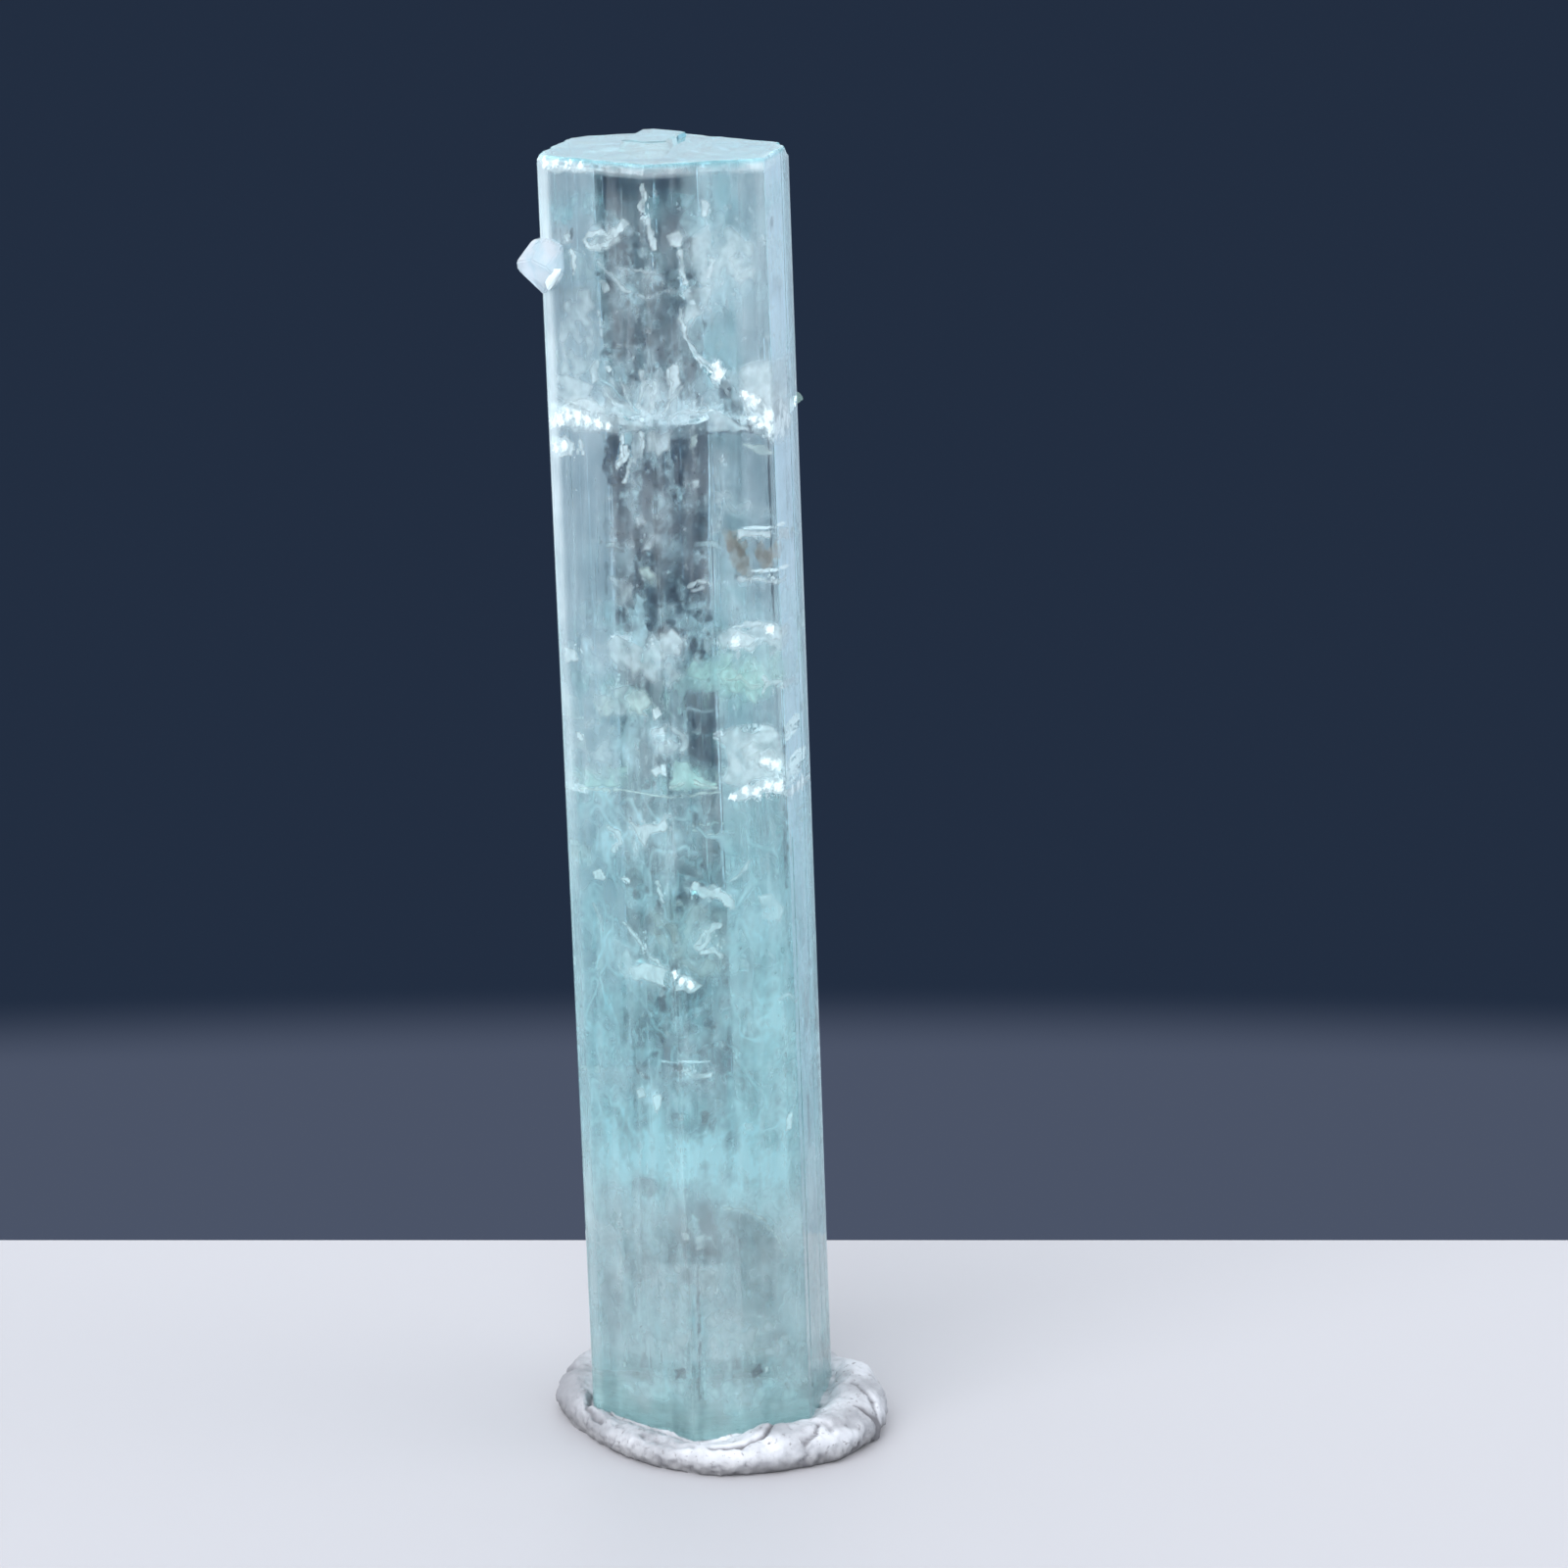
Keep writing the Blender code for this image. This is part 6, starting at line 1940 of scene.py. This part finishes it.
SPLINTERS = (
    (2.2, 51.1, 0.3, 0.25, 0.45, 26), (-2.76, 51.2, 0.4, 0.12, 0.12, 4), (0.2, 51.5, 0.5, 0.3, 0.3, 6),
    (1.4, 49.8, 0.5, 0.2, 0.3, 5), (0.7, 58.9, 0.5, 0.15, 0.15, 4), (-0.9, 58.9, 0.4, 0.12, 0.9, 8),
    (-0.5, 57.4, 0.4, 0.15, 0.9, 8), (2.0, 58.6, 0.4, 0.15, 0.4, 5), (2.1, 55.9, 0.4, 0.2, 0.5, 7),
    (0.7, 55.8, 0.4, 0.12, 0.9, 8), (-2.3, 47.2, 0.4, 0.25, 0.8, 14), (-4.9, 47.2, 0.3, 0.6, 0.3, 22),
    (-4.1, 48.9, 0.12, 1.2, 0.6, 70), (4.3, 48.6, 0.12, 0.9, 0.6, 60), (2.3, 46.9, 0.5, 0.2, 0.2, 5),
    (0.9, 41.3, 0.4, 0.5, 0.25, 12), (3.6, 43.3, 0.4, 0.8, 0.2, 22), (3.9, 41.2, 0.4, 0.9, 0.15, 18),
    (-1.0, 38.4, 0.4, 1.4, 0.5, 40), (2.6, 38.2, 0.4, 1.1, 0.4, 28), (-5.0, 37.7, 0.3, 0.3, 0.3, 8),
    (4.6, 36.1, 0.3, 0.7, 0.3, 14), (-1.2, 35.2, 0.4, 0.15, 0.2, 5), (-4.9, 33.5, 0.3, 0.12, 0.15, 5),
    (4.0, 32.3, 0.4, 0.35, 0.4, 16), (3.4, 30.9, 0.3, 1.0, 0.25, 36), (5.1, 31.0, 0.2, 0.4, 0.3, 12),
    (-1.9, 29.8, 0.4, 0.8, 0.3, 22), (-3.6, 29.0, 0.4, 0.3, 0.7, 12), (-4.4, 26.9, 0.3, 0.15, 0.2, 6),
    (-3.1, 26.9, 0.4, 0.12, 0.15, 4), (-1.4, 26.6, 0.4, 0.12, 0.8, 9), (1.1, 26.3, 0.4, 0.9, 0.35, 28),
    (0.9, 24.2, 0.5, 0.6, 0.6, 24), (-2.4, 24.0, 0.4, 0.5, 0.8, 14), (-1.6, 22.6, 0.4, 1.6, 0.5, 70),
    (-0.5, 18.0, 0.5, 0.6, 0.2, 16), (-2.8, 16.6, 0.4, 0.12, 0.2, 5), (-2.0, 16.1, 0.4, 0.12, 0.3, 6),
    (4.2, 14.8, 0.3, 0.12, 0.25, 5), (0.1, 7.5, 0.5, 0.4, 0.6, 10), (-2.6, 1.7, 0.4, 0.8, 0.3, 14),
    (0.7, 2.0, 0.4, 0.6, 0.3, 12),
)
BRIGHT_TINTS = ((0.86, 0.95, 0.98), (1.0, 1.0, 1.0))
bright, _ = mottled_finish("bright_splinter", (1800.0, 1800.0, 2.0), BRIGHT_TINTS, 0.2)
splinters = mesh_piece("bright_splinters", cluster(8, SPLINTERS, 0.10), bright)
print("splinters:", len(splinters.data.polygons) // 8)

# %% Glints
GLINT_DEPTH, GLINT_SHARE = 0.1, 0.7
GLINT_TINTS = ((0.88, 0.96, 1.0), (1.0, 1.0, 1.0))
glint, shader = mottled_finish("glint", (1800.0, 1800.0, 2.0), GLINT_TINTS, 0.22)
shader.inputs["Metallic"].default_value = 0.9
nearer = [(x, height, GLINT_DEPTH, wide, tall, math.ceil(count * GLINT_SHARE))
          for x, height, _, wide, tall, count in SPLINTERS]
glints = mesh_piece("glints", cluster(18, nearer, 0.075, 0.15), glint)
print("glints:", len(glints.data.polygons) // 8)

# %% Rusty stain
STAIN = (
    (2.50, 43.1, 0.3, 0.25, 0.7, 34), (2.95, 42.2, 0.3, 0.35, 0.9, 44),
    (4.0, 42.3, 0.3, 0.35, 0.6, 34), (4.80, 42.5, 0.2, 0.2, 0.3, 10),
)
RUST_TINTS = ((0.44, 0.38, 0.33), (0.68, 0.58, 0.49))
rust, shader = mottled_finish("iron_stain", (1400.0, 900.0, 3.0), RUST_TINTS, 0.7)
shader.inputs["Alpha"].default_value = 0.20
stain = mesh_piece("iron_stain", cluster(9, STAIN, 0.26, 0.12), rust)
print("stain:", len(stain.data.polygons) // 8)

# %% Dark grains near the foot
GRAINS = (
    (-1.40, 2.8, 0.10, 0.26, 0.08, 8), (2.15, 2.85, 0.10, 0.20, 0.14, 8),
    (4.9, 1.5, 0.1, 0.1, 0.06, 3), (2.75, 50.2, 0.3, 0.2, 0.3, 2),
)
DARK_TINTS = ((0.01, 0.04, 0.06), (0.03, 0.09, 0.12))
dark, _ = mottled_finish("dark_grain", (2500.0, 2500.0, 2.0), DARK_TINTS, 0.5)
grains = mesh_piece("dark_grains", cluster(10, GRAINS, 0.16), dark)
print("dark grains:", len(grains.data.polygons) // 8)

# %% [markdown]
# ## The small crystal on the edge
#
# A stubby crystal of its own has grown on the left front edge. It is cloudier than the prism. Low on
# its right side sits a white piece, a painted highlight where that side catches the light. Their
# corners are listed one by one, a convex hull wraps them, and a narrow bevel lets each edge catch
# light. The grain on the right edge is wrapped in the same way, round a handful of random points.

# %% Build the small crystal and the piece that paints its highlight
KNOB_HEIGHT = 55.75 * MM
KNOB_CORNERS = (
    (0.15, -0.70, 1.45), (1.10, -1.36, 1.24), (1.18, -1.42, 0.05), (0.88, -1.24, -0.55),
    (0.30, -0.84, -0.84), (-0.30, -0.42, 0.98), (-0.48, -0.22, -0.36), (-1.14, 0.25, 0.16),
    (-1.10, 0.35, -0.20), (-0.76, 0.10, 0.66), (-0.38, 0.20, 1.20), (-0.12, 0.10, -1.02),
    (0.16, 0.00, -1.36), (-0.35, 1.25, 0.68), (-0.45, 1.15, -0.40), (0.00, 1.00, -0.90),
    (0.05, 1.00, 1.20), (1.20, 0.90, 0.60), (1.20, 0.80, -0.50), (0.90, -0.40, 1.35),
    (0.90, -0.30, -0.90), (0.30, -1.16, 0.15), (0.62, -1.33, -0.12), (-0.40, -0.60, 0.42),
)
# painted highlight: a white piece low on the small crystal's right side, where it catches the light
HIGHLIGHT_BUD_CORNERS = (
    (0.22, -1.00, -0.52), (0.60, -1.36, -0.30), (0.98, -1.50, 0.02), (1.08, -1.46, 0.16),
    (0.66, -1.30, 0.20), (0.36, -1.12, -0.98), (0.62, -1.18, -0.78), (0.80, -0.90, -0.40),
    (0.50, -0.80, -0.70), (0.90, -1.00, 0.10),
)
KNOB_BEVEL, HIGHLIGHT_BUD_BEVEL, GRAIN_BEVEL = 0.06 * MM, 0.07 * MM, 0.02 * MM


def wrapped(points, name, bevel):
    """The convex body round the points, with bevelled edges."""
    bm = bmesh.new()
    for point in points:
        bm.verts.new(point)
    made = bmesh.ops.convex_hull(bm, input=bm.verts)
    spare = made["geom_unused"] + made["geom_interior"]
    inner = {g for g in spare if isinstance(g, bmesh.types.BMVert)}
    bmesh.ops.delete(bm, geom=list(inner), context="VERTS")
    bmesh.ops.dissolve_limit(bm, angle_limit=math.radians(2), verts=bm.verts, edges=bm.edges)
    bmesh.ops.bevel(bm, geom=bm.edges[:], offset=bevel, segments=2, affect="EDGES", clamp_overlap=True)
    bmesh.ops.recalc_face_normals(bm, faces=bm.faces)
    return add_object(bm, name)


root = on_prism(corner(FACE_DISTANCES, 4), KNOB_HEIGHT)
knob = wrapped([root + Vector(c) * MM for c in KNOB_CORNERS], "small_crystal", KNOB_BEVEL)
highlight_bud = wrapped([root + Vector(c) * MM for c in HIGHLIGHT_BUD_CORNERS], "highlight_bud", HIGHLIGHT_BUD_BEVEL)
print("small crystal:", len(knob.data.polygons), "faces, bud:", len(highlight_bud.data.polygons), "faces")

# %% Finish of the small crystal
cloudy, tree, shader = finish("cloudy_beryl")
place = object_place(tree)
clouds = eased(tree, stretched_noise(tree, place, 900.0, 900.0, 3.0), 0.34, 0.62)
tree.links.new(blend(tree, clouds, (0.68, 0.85, 0.93), (0.88, 0.93, 0.99)), shader.inputs["Base Color"])
shader.inputs["Roughness"].default_value = 0.16
shader.inputs["IOR"].default_value = BERYL_INDEX
shader.inputs["Transmission Weight"].default_value = 0.62
knob_bump = node(tree, "ShaderNodeBump", Strength=0.3, Distance=0.00003,
                 Height=stretched_noise(tree, place, 2200.0, 2200.0, 3.0))
tree.links.new(knob_bump.outputs[0], shader.inputs["Normal"])
knob.data.materials.append(cloudy)
# painted highlight: the white piece on the small crystal's lower right
highlight_bud.data.materials.append(fleck_finish("painted_highlight_bud", (0.82, 0.95, 0.98), 0.85))
for piece in (knob, highlight_bud):
    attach(piece, "root")
print("small crystal and bud finished")

# %% Grain on the right edge
GRAIN_HEIGHT = 48.7 * MM
GRAIN_RADII = Vector((0.26, 0.26, 0.32)) * MM
GRAIN_POINTS = 26


def edge_grain():
    draw = random.Random(3)
    centre = on_prism(corner(FACE_DISTANCES, 1), GRAIN_HEIGHT)
    points = []
    for _ in range(GRAIN_POINTS):
        way = Vector((draw.gauss(0, 1), draw.gauss(0, 1), draw.gauss(0, 1))).normalized()
        points.append(centre + Vector([w * r for w, r in zip(way, GRAIN_RADII)]))
    return wrapped(points, "edge_grain", GRAIN_BEVEL)


grain_piece = edge_grain()
grain_piece.data.materials.append(leaf_fleck)
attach(grain_piece, "root")
print("edge grain:", len(grain_piece.data.polygons), "faces")

# %% [markdown]
# ## The putty
#
# The holder is a worm of white putty, rolled between the fingers, laid round the foot and pressed on.
# So it is a ring with an uneven rolled rim that touches the crystal all round, with a thumbed tongue
# on the right, creases where the roll was folded, and pits where dust stuck. Sculpting would do, but
# a ring of cross-sections with the dents as small functions gives the same shape each run.

# %% Rim of the putty
PUTTY_RIM = (  # azimuth, how far the pad reaches from the axis, height of its rolled rim, in mm
    (4.0, 8.25, 1.30), (26.0, 8.45, 1.95), (48.0, 8.75, 1.95), (66.0, 8.65, 2.05), (80.0, 8.50, 2.25),
    (95.0, 8.15, 2.35), (118.0, 7.55, 2.10), (150.0, 7.35, 1.80), (180.0, 7.55, 1.80),
    (210.0, 7.85, 1.85), (238.0, 8.05, 1.95), (262.0, 7.75, 1.85), (280.0, 7.15, 1.55),
    (292.0, 6.75, 1.35), (306.0, 6.80, 1.28), (322.0, 7.05, 1.25), (344.0, 7.65, 1.25),
)
SPOKES = 420
PROFILE_STEPS = 32


def rim_at(azimuth):
    """How far the pad reaches at this azimuth and how high its rim is, in mm."""
    rows = [(PUTTY_RIM[-1][0] - 360.0, *PUTTY_RIM[-1][1:]), *PUTTY_RIM]
    rows.append((PUTTY_RIM[0][0] + 360.0, *PUTTY_RIM[0][1:]))
    for before, after in zip(rows, rows[1:]):
        if before[0] <= azimuth <= after[0]:
            share = step_up(azimuth, before[0], after[0])
            return tuple(before[k] + (after[k] - before[k]) * share for k in (1, 2))


def foot_reach(azimuth):
    """How far the prism's foot reaches from the axis at this azimuth, in mm."""
    way = direction(azimuth)
    facing = [way.dot(direction(face_azimuth(f))) for f in range(6)]
    return min(d / MM / share for d, share in zip(FACE_DISTANCES, facing) if share > 0.1)


print("putty rim at the front:", rim_at(0.0), "mm")

# %% Dents, creases and pits
CREASES = (  # a line of (x, y) in mm, its half width and its depth
    (((-0.1, -7.4), (1.1, -7.4), (2.5, -7.0), (3.2, -5.1)), 0.13, 0.30),
    (((4.4, -7.0), (4.9, -6.5), (5.0, -5.9)), 0.12, 0.22),
    (((6.9, -3.6), (7.4, -3.7), (8.3, -3.3)), 0.16, 0.42),
    (((6.6, -1.2), (7.5, -2.2), (7.9, -3.3)), 0.15, 0.20),
    (((-5.9, -0.6), (-6.1, -2.2), (-5.4, -3.6)), 0.15, 0.20),
    (((-3.4, -5.6), (-2.2, -6.7), (-0.9, -7.2)), 0.22, 0.10),
    (((4.6, -5.6), (5.6, -5.9), (6.9, -5.0)), 0.20, 0.12),
    (((-6.8, 2.0), (-7.4, 3.2), (-6.6, 4.6)), 0.2, 0.18),
    (((1.0, 7.2), (2.6, 6.6), (3.4, 7.0)), 0.2, 0.16),
)


def from_line(x, y, line):
    """Distance in mm from a point to a line of several stretches."""
    nearest = math.inf
    here = Vector((x, y))
    for start, end in zip(line, line[1:]):
        start, end = Vector(start), Vector(end)
        share = min(max((here - start).dot(end - start) / (end - start).length_squared, 0.0), 1.0)
        nearest = min(nearest, (here - start.lerp(end, share)).length)
    return nearest


PIT_COUNT = 150
FRONT_HALF = (-60, 90)  # azimuths with more pits than elsewhere
PIT_WIDTHS, PIT_DEPTHS = (0.05, 0.17), (0.03, 0.10)
DEEPEST_PITS = ((1.5, -5.7, 0.14, 0.22), (4.95, -2.5, 0.2, 0.35))


def pits():
    draw = random.Random(12)
    made = []
    for _ in range(PIT_COUNT):
        azimuth = draw.choice((draw.uniform(*FRONT_HALF), draw.uniform(0, 360)))
        reach = draw.uniform(foot_reach(azimuth % 360) + 0.1, rim_at(azimuth % 360)[0])
        spot = direction(azimuth) * reach
        made.append((spot.x, spot.y, draw.uniform(*PIT_WIDTHS), draw.uniform(*PIT_DEPTHS)))
    return made


PITS = [*DEEPEST_PITS, *pits()]
LUMP = ((2.0, 1.3), (-5.9, 0.6), 0.10)  # where it lies and how wide it is along x and y, its height
WAVES = ((0.12, 0.7, 0.0), (0.08, 1.7, 3.0), (0.06, 4.2, 6.0))  # height, how many to a mm, noise layer


def dent(x, y):
    """Depth of the creases and pits here in mm, and how much lower the whole surface is."""
    down = 0.0
    for line, width, depth in CREASES:
        away = from_line(x, y, line)
        if away < 3 * width:
            down += depth * math.exp(-(away / width) ** 2)
    for at_x, at_y, width, depth in PITS:
        away = math.hypot(x - at_x, y - at_y)
        if away < 2.5 * width:
            down += depth * math.exp(-(away / width) ** 2)
    cut = down
    (at_x, wide), (at_y, deep), height = LUMP
    down -= height * math.exp(-(((x - at_x) / wide) ** 2 + ((y - at_y) / deep) ** 2))
    broad, middling, fine = (
        h * noise.noise(Vector((x, y, layer)) * often) for h, often, layer in WAVES
    )
    down += broad + middling
    down += fine
    return cut, down


print("creases:", len(CREASES), "pits:", len(PITS))

# %% Cross-section of the putty
CONTACT_DIP = 0.06  # how far the putty bites into the crystal's foot, so that no gap shows
PUTTY_FLOOR = 1.12  # just over the crystal's foot, in mm
CREST_INSIDE = 0.73  # the rim's height beside the crystal, as a share of its crest
ROLL_START, ROLL_TURN = 0.80, 0.98  # in half turns: where the roll's round starts, how far it goes
ROLL_MIDDLE, ROLL_RADIUS = 0.42, 0.58  # shares of the crest's height
UNDERCUT = 0.30  # how far the roll's edge tucks in under it, as a share of its half width


def putty_profile(azimuth):
    """The roll's cross-section at an azimuth, from the crystal's foot over the rim to the ground."""
    outer, crest = rim_at(azimuth)
    inner = foot_reach(azimuth) - CONTACT_DIP
    middle, half = 0.5 * (inner + outer), 0.5 * (outer - inner)
    points = [(inner, PUTTY_FLOOR), (inner, max(PUTTY_FLOOR + 0.05, CREST_INSIDE * crest))]
    for step in range(PROFILE_STEPS):
        turn = math.pi * (ROLL_START - ROLL_TURN * step / (PROFILE_STEPS - 1))
        out = middle + half * math.cos(turn)
        up = crest * (ROLL_MIDDLE + ROLL_RADIUS * math.sin(turn))
        points.append((out, max(up, 0.05)))
    points.append((outer - UNDERCUT * half, 0.0))
    return points


print("points in a cross-section:", len(putty_profile(0.0)))

# %% Build the putty
LEAST_HEIGHT, LOW = 0.03, 0.6  # dents fade out below LOW
ROLLED = ((0.10, 1.6), (0.07, 4.5))  # finger marks: height and how many to a mm
RAGGED_FOOT = (0.5, 1.2)  # below these heights the roll's edge is ragged
# RAGGED_CUT: how much the ragged foot's hollows add to the painted shade of the dents
RAGGED, RAGGED_CUT = 0.13, 0.25


def putty_ring():
    bm = bmesh.new()
    spokes, cuts = [], []
    for i in range(SPOKES):
        azimuth = 360.0 * i / SPOKES
        way = direction(azimuth)
        profile = putty_profile(azimuth)
        column = []
        for k, (out, up) in enumerate(profile):
            x, y = way.x * out, way.y * out
            free = 0 < k < len(profile) - 1
            cut, down = dent(x, y) if free else (0.0, 0.0)
            if free:
                up = max(up - down * min(up / LOW, 1.0), LEAST_HEIGHT)
                here = Vector((x, y, up))
                roll = sum(h * noise.noise(here * often) for h, often in ROLLED)
                ragged = noise.fractal(here * Vector((2.6, 2.6, 1.6)), 0.6, 2.1, 3)
                near_ground = 1 - step_up(up, *RAGGED_FOOT)
                roll += RAGGED * ragged * near_ground
                x, y = x + way.x * roll, y + way.y * roll
                cut += RAGGED_CUT * max(-ragged, 0.0) * near_ground
            column.append(bm.verts.new(Vector((x, y, up)) * MM))
            cuts.append(cut)
        spokes.append(column)
    for column, following in zip(spokes, spokes[1:] + spokes[:1]):
        for k in range(len(column) - 1):
            bm.faces.new((column[k], column[k + 1], following[k + 1], following[k]))
    bm.faces.new([column[0] for column in spokes])
    bm.faces.new([column[-1] for column in spokes])
    bmesh.ops.recalc_face_normals(bm, faces=bm.faces)
    ring = add_object(bm, "putty_roll")
    # cut says how deep each point is dented; the finish paints shade from it
    mark(ring.data, "cut", cuts)
    ring.data.shade_smooth()
    ring.data.set_sharp_from_angle(angle=math.radians(60))
    return ring


putty = putty_ring()
print("putty:", len(putty.data.polygons), "faces")

# %% [markdown]
# Putty is matt and slightly waxy, patchy in tone and spotted with dust, so colour, roughness and a fine
# bump all come from noise. Its colour also holds painted shade: darker near the ground, on the left
# side, and in the creases and pits.

# %% Finish of the putty
white_putty, tree, shader = finish("white_putty")
place = object_place(tree)
patchy = stretched_noise(tree, place, 500.0, 500.0, 4.0)
dusty = stretched_noise(tree, place, 3600.0, 3600.0, 3.0)
clean = blend(tree, eased(tree, patchy, 0.30, 0.66), (0.27, 0.28, 0.305), (0.52, 0.54, 0.58))
speckled = blend(tree, eased(tree, dusty, 0.58, 0.72), clean, (0.22, 0.22, 0.235))
# painted shade: the pad's left side, beyond x = -5.2 mm, is darker
sideways = node(tree, "ShaderNodeSeparateXYZ", _0=place).outputs["X"]
left_side_shade = blend(tree, eased(tree, sideways, -0.0052, -0.0074), speckled, (0.23, 0.235, 0.255))
# painted shade: the putty is darker near the ground, under its rolled rim
above_ground = eased(tree, height_of(tree, place), 0.0002, 0.0012)
ground_shade = blend(tree, above_ground, (0.19, 0.19, 0.20), left_side_shade)
# painted shade: darker in the creases, the pits and the hollows of the ragged foot
colour = blend(tree, eased(tree, marked(tree, "cut"), 0.03, 0.26), ground_shade, (0.13, 0.13, 0.145))
tree.links.new(colour, shader.inputs["Base Color"])
tree.links.new(
    node(tree, "ShaderNodeMapRange", Value=patchy, To_Min=0.5, To_Max=0.75).outputs["Result"],
    shader.inputs["Roughness"],
)
putty_bump = node(tree, "ShaderNodeBump", Strength=0.6, Distance=0.00005, Height=dusty)
tree.links.new(putty_bump.outputs[0], shader.inputs["Normal"])
putty.data.materials.append(white_putty)
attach(putty, "root")
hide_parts("putty_pad")
print("putty finish ready")

# %% [markdown]
# ## Measure the size
#
# The looks mustn't change the object's dimensions. The box of all visible pieces is measured, and how
# far it has grown past the CAD's box is printed.

# %% Print how far the box has grown
visual_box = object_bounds()
grown = [[round((v - c) / MM, 3) for v, c in zip(*corners)] for corners in zip(visual_box, cad_box)]
print("grown by in mm:", grown)
